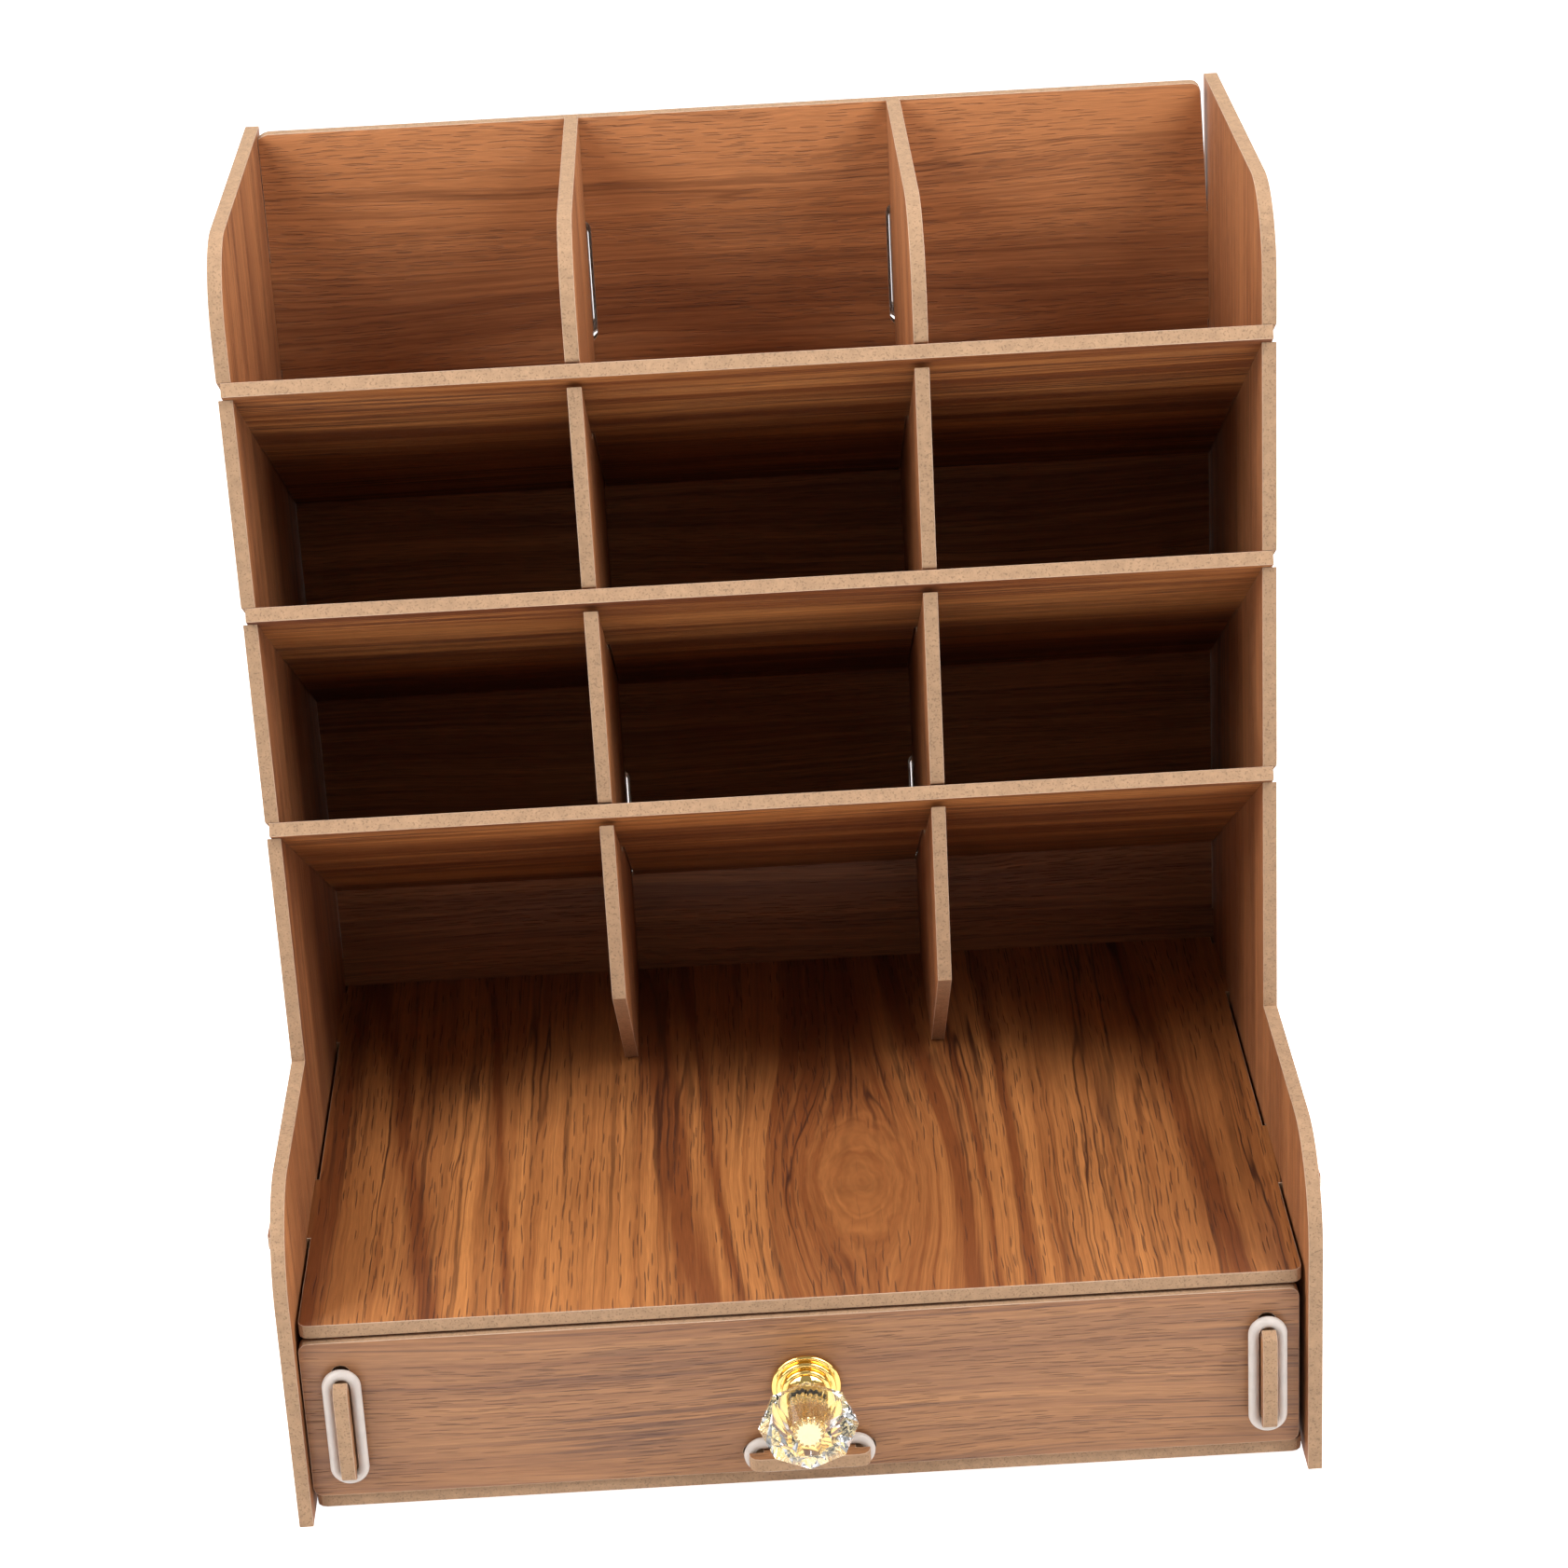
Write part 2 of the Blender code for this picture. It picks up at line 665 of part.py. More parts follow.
def build():
    """Model the whole organizer."""
    clear_scene()
    side_panels()
    back_panel()
    column_dividers()
    row_dividers()
    shelf("tray_board", tray_wood, tray_top, hooked_tab, tray_front_tab_depth)
    shelf("base_board", wood, base_top, plain_tab, base_front_tab_depth)
    slide = bpy.data.objects.new("drawer_slide", None)
    slide.location = (drawer_middle, drawer_face, 0.0)
    bpy.context.scene.collection.objects.link(slide)
    drawer_boards(slide)
    elastic_rings(slide)
    knob(slide)


build()
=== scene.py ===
"""Looks of the desk pen organizer: laminate boards, elastic rings, clear knob and studio.

Metres, +Z up, the front faces -Y. Every board takes its outline from its own node of the frame.
"""

import json
import math

import bmesh
import bpy
from bpy.props import FloatProperty, FloatVectorProperty, IntProperty, PointerProperty
from mathutils import Matrix, Vector
from mathutils.geometry import tessellate_polygon


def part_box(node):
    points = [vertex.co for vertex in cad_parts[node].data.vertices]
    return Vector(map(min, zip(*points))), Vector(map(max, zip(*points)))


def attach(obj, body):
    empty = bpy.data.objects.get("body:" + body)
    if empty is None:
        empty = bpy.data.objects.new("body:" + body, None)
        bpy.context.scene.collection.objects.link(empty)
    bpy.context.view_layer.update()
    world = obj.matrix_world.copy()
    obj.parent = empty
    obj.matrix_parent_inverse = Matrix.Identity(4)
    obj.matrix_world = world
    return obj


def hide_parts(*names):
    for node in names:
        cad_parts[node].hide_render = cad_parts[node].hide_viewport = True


bl_info = {
    "name": "Desk Pen Organizer",
    "version": (1, 0, 0),
    "blender": (4, 5, 0),
    "location": "View3D > Sidebar > Organizer",
    "description": "Finishes the boards, elastic rings and knob of a slotted desk pen organizer",
    "category": "Object",
}

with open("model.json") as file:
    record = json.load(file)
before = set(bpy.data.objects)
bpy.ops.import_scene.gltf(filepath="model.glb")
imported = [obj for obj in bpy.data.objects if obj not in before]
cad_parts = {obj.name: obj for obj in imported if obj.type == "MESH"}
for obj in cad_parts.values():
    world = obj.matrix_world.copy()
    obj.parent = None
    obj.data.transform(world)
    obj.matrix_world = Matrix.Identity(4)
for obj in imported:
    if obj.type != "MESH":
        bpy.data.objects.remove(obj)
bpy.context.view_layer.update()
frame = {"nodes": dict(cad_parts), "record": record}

# Directions, and the one that every board's normal is turned towards
outward = Vector((0.6, -0.5, 0.62))
across = Vector((1.0, 0.0, 0.0))
backward = Vector((0.0, 1.0, 0.0))
upward = Vector((0.0, 0.0, 1.0))

# Boards: node, grain direction, laminate, and where its piece of grain starts
board_plan = (
    ("left_side_panel", "cabinet", upward, "board", (0.31, 0.92)),
    ("right_side_panel", "cabinet", upward, "board", (1.74, 2.35)),
    ("left_column_divider", "cabinet", upward, "board", (2.63, 1.48)),
    ("right_column_divider", "cabinet", upward, "board", (3.87, 0.57)),
    ("back_panel", "cabinet", across, "back", (0.0, 0.0)),
    ("row_divider_top", "cabinet", across, "row", (6.45, 4.16)),
    ("row_divider_middle", "cabinet", across, "row", (7.29, 5.03)),
    ("row_divider_bottom", "cabinet", across, "row", (8.58, 6.38)),
    ("base_board", "cabinet", across, "board", (9.14, 7.71)),
    ("tray_board", "cabinet", backward, "tray", (0.0, 0.0)),
    ("drawer_front", "drawer", across, "drawer", (11.37, 8.26)),
    ("drawer_back", "drawer", across, "drawer", (12.91, 9.64)),
    ("drawer_left_side", "drawer", backward, "drawer", (13.46, 10.83)),
    ("drawer_right_side", "drawer", backward, "drawer", (14.72, 11.59)),
    ("drawer_bottom", "drawer", across, "drawer", (15.33, 12.17)),
)

# Looks of the laminates: how strong each kind of grain is, and the size and spacing of the pores
board_look = {
    "bands": 0.85, "streaks": 0.72, "lines": 0.74, "veins": 0.62, "threads": 0.55, "ripple": 0.0012,
    "wander": 0.020, "shift": -0.05, "contrast": 0.27, "vein_colour": (0.120, 0.040, 0.018),
    "pore_ink": 0.22, "pore_depth": 0.00020,
    "pores": {"length": 0.0085, "width": 0.00024, "pitch_along": 0.0080, "pitch_aside": 0.00080},
}
row_look = {**board_look, "bands": 1.50, "streaks": 0.90, "veins": 0.95, "threads": 0.90, "shift": 0.03,
            "contrast": 0.20}

# The back panel is paler along its top, partly a paler tone in its print and partly painted light on its
# top with painted shade below it: from one height up to another, by this much
back_look = {**board_look, "veins": 0.50, "threads": 0.34, "pale_top_and_painted_light": (0.245, 0.291, 0.36), "shift": 0.0}
drawer_look = {
    "bands": 0.60, "streaks": 0.66, "lines": 0.80, "veins": 0.36, "threads": 0.68, "ripple": 0.0008,
    "wander": 0.020, "shift": -0.03, "contrast": 0.30, "vein_colour": (0.100, 0.045, 0.032),
    "pore_ink": 0.32, "pore_depth": 0.00018,
    "pores": {"length": 0.0100, "width": 0.00026, "pitch_along": 0.0092, "pitch_aside": 0.00090},
}
tray_look = {
    "bands": 0.95, "streaks": 0.95, "lines": 0.60, "veins": 0.95, "threads": 0.60, "ripple": 0.0017,
    "wander": 0.007, "shift": 0.0, "contrast": 0.36, "vein_colour": (0.060, 0.018, 0.008),
    "pore_ink": 0.58, "pore_depth": 0.00026,
    "pores": {"length": 0.0125, "width": 0.00036, "pitch_along": 0.0105, "pitch_aside": 0.0019},
}

# The eye in the tray's grain: its middle along and across the grain, its length and breadth
tray_eye = ((-0.028, -0.0170), 0.036, 0.0140)

# Dark streaks in the tray's grain: place across it, lean along it, breadth and depth of tone
tray_streaks = (
    (0.1165, -0.03, 0.0035, 0.50),
    (0.0990, 0.12, 0.0028, 0.42),
    (0.0750, 0.06, 0.0014, 0.30),
    (0.0300, 0.095, 0.0040, 0.55),
    (0.0190, 0.08, 0.0018, 0.42),
    (-0.0140, 0.03, 0.0220, 0.24),
    (-0.0345, 0.066, 0.0030, 0.50),
    (-0.0440, 0.04, 0.0014, 0.35),
    (-0.0552, 0.018, 0.0016, 0.46),
    (-0.1010, 0.07, 0.0034, 0.34),
)

# Noise of the laminates' grain: scales along, across and through it, detail and roughness
grain_noise = {
    "drift": ((4.0, 17.0, 1.0), 1.0, 0.5),
    "ripple": ((45.0, 90.0, 1.0), 2.0, 0.5),
    "bands": ((1.6, 50.0, 1.0), 2.0, 0.5),
    "streaks": ((4.2, 240.0, 1.0), 3.0, 0.6),
    "lines": ((11.0, 1000.0, 4.1), 2.0, 0.6),
    "fibres": ((110.0, 2600.0, 5.3), 2.0, 0.6),
    "veins": ((3.2, 105.0, 7.3), 2.0, 0.5),
    "veins_kept": ((5.0, 45.0, 9.7), 1.0, 0.5),
    "threads": ((3.0, 330.0, 11.3), 1.0, 0.5),
    "threads_kept": ((9.0, 80.0, 13.1), 1.0, 0.5),
    "pore_patches": ((11.0, 70.0, 3.1), 1.0, 0.5),
    "eye_wobble": ((110.0, 160.0, 1.0), 2.0, 0.5),
    "eye_rings": ((1.0, 4.5, 1.0), 2.0, 0.6),
}

# How far from the noise's middle the thin lines reach, and the noise that keeps or drops them
line_ranges = {
    "veins": (0.002, 0.013),
    "veins_kept": (0.42, 0.60),
    "threads": (0.004, 0.030),
    "threads_kept": (0.42, 0.58),
}

# Pores: the noise that keeps or drops them, how softly, their shortest share and their soft rim
pore_patch_range = (0.38, 0.60)
pore_fade = 0.25
shortest_pore_share = 0.45
pore_rim = (0.35, 1.0)

# Eye: how fast the grain closes up beyond it, and its rings' wobble, drift, contrast and paleness
eye_closing = 0.45
eye_wobble = 0.34
eye_drift = 9.0
eye_contrast = 0.9
eye_paleness = 0.30
eye_rim = (0.70, 1.25)
eye_ring_share = 0.80

# Film: flecks of the fibres, their relief, and the roughness of the film and of its pores
fleck_noise = (0.28, 0.72)
fleck_tones = (0.82, 1.15)
fibre_relief_share = 0.12
film_roughness = (0.44, 0.62)

# Other finishes: scales of their noise, where most noise lies, and the tones that it becomes
noise_span = (0.3, 0.7)
core_mottle_scales = (420.0, 420.0, 420.0)
core_speck_scales = (1900.0, 1900.0, 1900.0)
core_speck_range = (0.56, 0.68)
core_tones = (0.88, 1.13)
speck_share = 0.55
speck_dark_share = 0.42
film_edge_scales = (900.0, 900.0, 900.0)
film_edge_tones = (0.86, 1.06)
elastic_scales = (350.0, 350.0, 350.0)
elastic_tones = (0.94, 1.04)
elastic_roughness = (0.28, 0.40)
polish_scales = (500.0, 2600.0, 500.0)
metal_tones = (0.96, 1.03)
gold_roughness = (0.04, 0.10)
brass_roughness = (0.20, 0.30)
steel_roughness = (0.25, 0.38)
haze_scales = (300.0, 300.0, 300.0)
haze_range = (0.35, 0.75)
haze_roughness = (0.0, 0.02)

# Reading a board from its node: points this near are one, and faces this level are its lid
weld = 1e-6
flat_cosine = 0.999

# Boards: steps round an edge, and how many half thicknesses aside the underside's grain is taken
round_steps = 3
underside_halves = 40
smooth_angle = math.radians(30.0)

# Materials on a board's faces, in the order of its slots
film_index = 0
film_edge_index = 1
core_index = 2

# Boards drawn up to their neighbours: the widest play that closes up, and what stays between them
widest_play = 0.0008
contact = 0.0001
row_dividers = ("row_divider_top", "row_divider_middle", "row_divider_bottom")
neighbours = {
    "back_panel": ("left_side_panel", "right_side_panel"),
    "left_side_panel": row_dividers,
    "right_side_panel": row_dividers,
}

# Rosette: its bore, its round beads as (start, end, inner radius, outer radius), its neck and cup
bead_steps = 10
rosette_bore = 0.0022
rosette_beads = (
    (0.0, 0.0014, 0.0079, 0.0085),
    (0.0014, 0.0027, 0.0064, 0.0073),
    (0.0027, 0.0041, 0.0049, 0.0060),
)
rosette_neck = ((0.0050, 0.0042), (0.0064, 0.0038), (0.0077, 0.0042))
rosette_cup = (0.0083, 0.0095, 0.0049, 0.0056)

# Clear knob and insert: wall round the insert that is filled in, and steps across each rib
bore_wall = 0.0005
steps_per_flute = 12

# Screw: its head's round as (length, radius) from the crown, its shank, and its cross
head_round = (
    (0.0, 0.0),
    (0.0001, 0.0016),
    (0.0005, 0.0028),
    (0.0010, 0.0035),
    (0.0015, 0.0036),
    (0.0020, 0.0036),
)
shank_radius = 0.0015
cross_depth = 0.0011
cross_half_length = 0.0020
cross_half_width = 0.00035

# Camera: picture width in pixels, focal length in pixels, place, and its right and forward directions
picture_width = 1682
focal_pixels = 4422.94
sensor_width_mm = 36.0
camera_place = Vector((-0.00241, -0.93358, 0.57182))
camera_right = Vector((0.998379, -0.028346, -0.049361))
camera_forward = Vector((0.005605, 0.911929, -0.41031))

# Lights: their size, their distance from the point they aim at, and the floor's reach and roughness
light_size = 0.6
light_distance = 1.15
light_aim = Vector((0.0, 0.0, 0.15))
floor_reach = 3.0
floor_roughness = 0.7

# Pairs of lights: name, bearing from the front and rise in degrees, and the setting for their power
light_pairs = (
    ("high_light", 60.0, 45.0, "high_power"),
    ("low_light", 68.0, 22.0, "low_power"),
    ("front_light", 30.0, 28.0, "front_power"),
    ("light_behind", 120.0, 30.0, "behind_power"),
)
rear_bearing = 180.0
rear_rise = 68.0


def length_setting(name, description, default):
    """Setting for a small length in metres."""
    return FloatProperty(
        name=name, description=description, default=default, min=0.0, precision=5, unit="LENGTH")


def power_setting(name, description, default):
    """Setting for a light's power in watts."""
    return FloatProperty(name=name, description=description, default=default, min=0.0, unit="POWER")


def colour_setting(name, description, default):
    """Setting for a colour."""
    return FloatVectorProperty(
        name=name, description=description, default=default, min=0.0, max=1.0, subtype="COLOR")


class BoardSettings(bpy.types.PropertyGroup):
    """Sizes and colours of the laminated boards."""

    edge_round: length_setting(
        "Edge rounding", "Radius on the edges of each face", 0.00016)
    film: length_setting(
        "Film", "Thickness of the printed film on each face", 0.00015)
    board_pale: colour_setting(
        "Board, pale grain", "Palest colour of the boards' laminate", (0.50, 0.205, 0.078))
    board_dark: colour_setting(
        "Board, dark grain", "Darkest colour of the boards' laminate", (0.19, 0.063, 0.026))
    tray_pale: colour_setting(
        "Tray, pale grain", "Palest colour of the tray's laminate", (0.55, 0.220, 0.065))
    tray_dark: colour_setting(
        "Tray, dark grain", "Darkest colour of the tray's laminate", (0.19, 0.054, 0.015))
    drawer_pale: colour_setting(
        "Drawer, pale grain", "Palest colour of the drawer's laminate", (0.44, 0.207, 0.086))
    drawer_dark: colour_setting(
        "Drawer, dark grain", "Darkest colour of the drawer's laminate", (0.20, 0.082, 0.040))
    core_colour: colour_setting(
        "Core", "Colour of the pressed fibre core on cut edges", (0.40, 0.244, 0.139))
    film_colour: colour_setting(
        "Film edge", "Colour of the film's paper backing on cut edges", (0.52, 0.35, 0.24))


class RingSettings(bpy.types.PropertyGroup):
    """Sizes and colour of the elastic rings."""

    cord_radius: length_setting(
        "Cord radius", "Radius of the ring's round cord", 0.00135)
    bend_radius: length_setting(
        "Bend radius", "Radius of the cord's middle line round each end", 0.0034)
    half_straight: length_setting(
        "Half of the straight", "Half the distance between the middles of the two ends", 0.01125)
    loop_steps: IntProperty(
        name="Loop steps", description="Steps round the whole ring", default=64, min=8)
    cord_sides: IntProperty(
        name="Cord sides", description="Sides round the cord", default=18, min=6)
    colour: colour_setting(
        "Colour", "Colour of the milky elastic", (0.72, 0.65, 0.60))


class KnobSettings(bpy.types.PropertyGroup):
    """Fineness and colours of the knob."""

    turned_steps: IntProperty(
        name="Turned steps", description="Steps round each turned piece", default=96, min=12)
    flutes: IntProperty(
        name="Flutes", description="Ribs round the insert", default=16, min=4)
    flute_depth: length_setting(
        "Flute depth", "How deep the grooves between the insert's ribs are", 0.0006)
    gold: colour_setting(
        "Gold", "Colour of the plated rosette", (0.90, 0.62, 0.20))
    brass: colour_setting(
        "Brass", "Colour of the insert", (0.98, 0.79, 0.42))
    clear: colour_setting(
        "Clear", "Colour of the clear knob", (0.97, 0.975, 0.98))
    steel: colour_setting(
        "Steel", "Colour of the screw", (0.62, 0.62, 0.60))


class StageSettings(bpy.types.PropertyGroup):
    """Camera, floor and lights."""

    floor_colour: colour_setting(
        "Floor", "Colour of the plain floor", (0.90, 0.90, 0.90))
    high_power: power_setting(
        "High lights", "Power of each of the two lights high beside the front", 9.6)
    low_power: power_setting(
        "Low lights", "Power of each of the two lights low beside the front", 3.8)
    front_power: power_setting(
        "Front lights", "Power of each of the two lights in front", 0.6)
    behind_power: power_setting(
        "Lights behind", "Power of each of the two lights behind the sides", 3.1)
    rear_power: power_setting(
        "Rear light", "Power of the light high behind the back", 4.7)
    floor_glow: FloatProperty(
        name="Floor glow", description="How white the floor shows by itself, without lighting the pieces",
        default=1.0, min=0.0)
    floor_bounce: FloatProperty(
        name="Floor bounce", description="How much of its own light the floor throws onto the pieces",
        default=0.12, min=0.0, max=1.0)
    surround: FloatProperty(
        name="Surround", description="Strength of the light from all round",
        default=0.01, min=0.0)
    gloss_share: FloatProperty(
        name="Share in a gloss",
        description="How much of the white floor and surround a gloss or clear piece shows",
        default=0.36, min=0.0, max=1.0)


def put(tree, kind, inputs=None, **settings):
    """Add a node, set its properties and inputs, and link the inputs that are sockets."""
    node = tree.nodes.new(kind)
    for name, value in settings.items():
        setattr(node, name, value)
    for key, value in (inputs or {}).items():
        if isinstance(value, bpy.types.NodeSocket):
            tree.links.new(value, node.inputs[key])
        else:
            node.inputs[key].default_value = value
    return node


def maths(tree, operation, first, second=0.0):
    """Result of a sum on two numbers or sockets."""
    return put(tree, "ShaderNodeMath", {0: first, 1: second}, operation=operation).outputs[0]


def plus(tree, first, second):
    """Sum of two numbers or sockets."""
    return maths(tree, "ADD", first, second)


def minus(tree, first, second):
    """First number or socket less the second."""
    return maths(tree, "SUBTRACT", first, second)


def times(tree, first, second):
    """Product of two numbers or sockets."""
    return maths(tree, "MULTIPLY", first, second)


def spread(tree, value, low, high, start=0.0, end=1.0):
    """Value moved from the range low to high into the range start to end, and held there."""
    inputs = {"Value": value, "From Min": low, "From Max": high, "To Min": start, "To Max": end}
    return put(tree, "ShaderNodeMapRange", inputs).outputs["Result"]


def clouds(tree, place, stretch, detail=2.0, roughness=0.5):
    """Soft noise on a place stretched along its three directions, from 0 to 1."""
    stretched = put(tree, "ShaderNodeVectorMath", {0: place, 1: stretch}, operation="MULTIPLY").outputs[0]
    inputs = {"Vector": stretched, "Scale": 1.0, "Detail": detail, "Roughness": roughness}
    return put(tree, "ShaderNodeTexNoise", inputs, noise_dimensions="3D").outputs[0]


def blended(tree, factor, first, second, kind="MIX"):
    """Colour between two colours."""
    node = put(tree, "ShaderNodeMix", data_type="RGBA", blend_type=kind)
    sockets = {"Factor_Float": factor, "A_Color": first, "B_Color": second}
    for socket in node.inputs:
        if socket.identifier in sockets:
            value = sockets[socket.identifier]
            if isinstance(value, bpy.types.NodeSocket):
                tree.links.new(value, socket)
            else:
                socket.default_value = value if socket.identifier == "Factor_Float" else (*value[:3], 1.0)
    return next(socket for socket in node.outputs if socket.identifier == "Result_Color")


def new_material(name):
    """Empty material with its shader, ready for its nodes."""
    material = bpy.data.materials.new(name)
    material.use_nodes = True
    tree = material.node_tree
    return material, tree, tree.nodes["Principled BSDF"]


def set_inputs(tree, shader, values):
    """Set or link several inputs of a shader."""
    for key, value in values.items():
        if isinstance(value, bpy.types.NodeSocket):
            tree.links.new(value, shader.inputs[key])
        else:
            shader.inputs[key].default_value = value


def grain(tree, kind, place):
    """One kind of the laminates' noise, from 0 to 1."""
    scales, detail, roughness = grain_noise[kind]
    return clouds(tree, place, scales, detail, roughness)


def centred(tree, kind, place):
    """One kind of the laminates' noise, with its middle at zero."""
    return minus(tree, grain(tree, kind, place), 0.5)


def squares_of(tree, first, second):
    """Sum of two squares."""
    return plus(tree, times(tree, first, first), times(tree, second, second))


def shaded(tree, colour, tone):
    """Colour made darker or paler by a tone."""
    grey = put(tree, "ShaderNodeCombineXYZ", {0: tone, 1: tone, 2: tone}).outputs[0]
    return blended(tree, 1.0, colour, grey, "MULTIPLY")


def grain_flow(tree, along, aside, place, wander, eye):
    """Distance across the grain, wandering slowly and parted by an eye, and how far out of the eye."""
    plain = plus(tree, aside, times(tree, centred(tree, "drift", place), wander))
    if not eye:
        return plain, plain, None
    (eye_along, eye_aside), length, breadth = eye
    beside = minus(tree, aside, eye_aside)
    far_along = maths(tree, "DIVIDE", minus(tree, along, eye_along), length)
    squares = squares_of(tree, far_along, maths(tree, "DIVIDE", beside, breadth))
    parting = maths(tree, "EXPONENT", times(tree, squares, -eye_closing))
    flow = minus(tree, plain, times(tree, beside, parting))
    return plain, flow, maths(tree, "SQRT", squares)


def pressed_pores(tree, along, aside, pores):
    """Short dashes pressed along the grain, one to a cell, from 0 to 1, and each dash's own number."""
    cell_along = maths(tree, "DIVIDE", along, pores["pitch_along"])
    cell_aside = maths(tree, "DIVIDE", aside, pores["pitch_aside"])
    cell = put(tree, "ShaderNodeCombineXYZ", {0: cell_along, 1: cell_aside}).outputs[0]
    nearest = put(tree, "ShaderNodeTexVoronoi", {"Vector": cell, "Scale": 1.0, "Randomness": 1.0},
                  voronoi_dimensions="2D", feature="F1")
    away = put(tree, "ShaderNodeVectorMath", {0: nearest.outputs["Position"], 1: cell},
               operation="SUBTRACT")
    off = put(tree, "ShaderNodeSeparateXYZ", {0: away.outputs[0]}).outputs
    number = put(tree, "ShaderNodeSeparateXYZ", {0: nearest.outputs["Color"]}).outputs
    length = spread(tree, number[0], 0.0, 1.0, shortest_pore_share, 1.0)
    far_along = times(tree, off[0], 2 * pores["pitch_along"] / pores["length"])
    far_along = maths(tree, "DIVIDE", far_along, length)
    far_aside = times(tree, off[1], 2 * pores["pitch_aside"] / pores["width"])
    return spread(tree, squares_of(tree, far_along, far_aside), *pore_rim, 1.0, 0.0), number[1]


def thin_lines(tree, kind, fine_place, smooth_place, calm):
    """Thin lines where one kind of noise crosses its middle, kept in patches and out of the eye."""
    lines = maths(tree, "ABSOLUTE", centred(tree, kind, fine_place))
    lines = spread(tree, lines, *line_ranges[kind], 1.0, 0.0)
    kept = kind + "_kept"
    patches = spread(tree, grain(tree, kept, smooth_place), *line_ranges[kept])
    return times(tree, lines, times(tree, patches, calm))


def dark_streak(tree, along, flow, streak):
    """Tone of one dark streak, given as its place across the grain, lean, breadth and depth."""
    where, lean, breadth, depth = streak
    off = minus(tree, flow, where)
    off = minus(tree, off, times(tree, along, lean))
    off = maths(tree, "DIVIDE", off, breadth)
    fall = times(tree, times(tree, off, off), -1.0)
    return times(tree, maths(tree, "EXPONENT", fall), depth)


def eye_rings(tree, along, out, place, middle):
    """Tone of the rings in the eye, and their share of the tone at a place."""
    out = plus(tree, out, times(tree, centred(tree, "eye_wobble", place), eye_wobble))
    drifting = times(tree, along, eye_drift)
    rings_place = put(tree, "ShaderNodeCombineXYZ", {0: drifting, 1: out}).outputs[0]
    rings = times(tree, grain(tree, "eye_rings", rings_place), eye_contrast)
    rings = plus(tree, rings, middle - eye_paleness)
    return rings, spread(tree, out, *eye_rim, eye_ring_share, 0.0)


def laminate(name, pale, dark, look, eye=None, dark_streaks=()):
    """Printed wood film with bands, streaks, fibres and pressed pores along its grain.

    The film's map runs in metres, along the grain first. An eye is the middle, length and
    breadth of the oval that the grain parts for.
    """
    material, tree, shader = new_material(name)
    place = put(tree, "ShaderNodeUVMap", uv_map="grain").outputs[0]
    parts = put(tree, "ShaderNodeSeparateXYZ", {0: place})
    along, aside = parts.outputs[0], parts.outputs[1]
    plain, flow, out = grain_flow(tree, along, aside, place, look["wander"], eye)
    ripple = times(tree, centred(tree, "ripple", place), look["ripple"])
    fine_flow = plus(tree, flow, ripple)
    smooth_place = put(tree, "ShaderNodeCombineXYZ", {0: along, 1: flow}).outputs[0]
    fine_place = put(tree, "ShaderNodeCombineXYZ", {0: along, 1: fine_flow}).outputs[0]

    tone = times(tree, grain(tree, "bands", smooth_place), look["bands"])
    for kind in ("streaks", "lines"):
        tone = plus(tree, tone, times(tree, grain(tree, kind, fine_place), look[kind]))
    middle = (look["bands"] + look["streaks"] + look["lines"]) / 2 - look["shift"]
    # Paler top of the back panel: partly a paler print tone, partly painted light on its top and painted
    # shade lower down
    if "pale_top_and_painted_light" in look:
        low, high, amount = look["pale_top_and_painted_light"]
        tone = minus(tree, tone, spread(tree, aside, low, high, 0.0, amount))
    for streak in dark_streaks:
        tone = plus(tree, tone, dark_streak(tree, along, fine_flow, streak))
    calm = 1.0
    if eye:
        rings, inside = eye_rings(tree, along, out, place, middle)
        calm = minus(tree, 1.0, inside)
        tone = plus(tree, times(tree, tone, calm),
                     times(tree, rings, inside))
    tone = spread(tree, tone, middle - look["contrast"], middle + look["contrast"])
    film = blended(tree, tone, pale, dark)

    for kind in ("veins", "threads"):
        lines = thin_lines(tree, kind, fine_place, smooth_place, calm)
        film = blended(tree, times(tree, lines, look[kind]), film, look["vein_colour"])
    fibres = grain(tree, "fibres", fine_place)
    film = shaded(tree, film, spread(tree, fibres, *fleck_noise, *fleck_tones))

    dashes, number = pressed_pores(tree, along, plus(tree, plain, ripple), look["pores"])
    patches = spread(tree, grain(tree, "pore_patches", smooth_place), *pore_patch_range)
    present = spread(tree, minus(tree, patches, number), -pore_fade, 0.0)
    dashes = times(tree, dashes, times(tree, present, calm))
    film = blended(tree, times(tree, dashes, look["pore_ink"]), film, look["vein_colour"])

    height = minus(tree, times(tree, fibres, fibre_relief_share), dashes)
    bump = put(tree, "ShaderNodeBump", {"Strength": 1.0, "Distance": look["pore_depth"], "Height": height})
    set_inputs(tree, shader, {
        "Base Color": film,
        "Roughness": spread(tree, dashes, 0.0, 1.0, *film_roughness),
        "Normal": bump.outputs[0],
        "Specular IOR Level": 0.45,
    })
    return material


def fibre_core(name, colour):
    """Pressed fibre board on a cut edge: fine specks and a matt, slightly furry surface."""
    material, tree, shader = new_material(name)
    place = put(tree, "ShaderNodeTexCoord").outputs["Object"]
    mottle = clouds(tree, place, core_mottle_scales, 3.0, 0.6)
    specks = spread(tree, clouds(tree, place, core_speck_scales, 1.0), *core_speck_range)
    core = shaded(tree, colour, spread(tree, mottle, *noise_span, *core_tones))
    speck_colour = tuple(share * speck_dark_share for share in colour)
    core = blended(tree, times(tree, specks, speck_share), core, speck_colour)
    bump = put(tree, "ShaderNodeBump", {"Strength": 0.3, "Distance": 0.0001, "Height": mottle})
    set_inputs(tree, shader, {"Base Color": core, "Roughness": 0.82, "Normal": bump.outputs[0]})
    return material


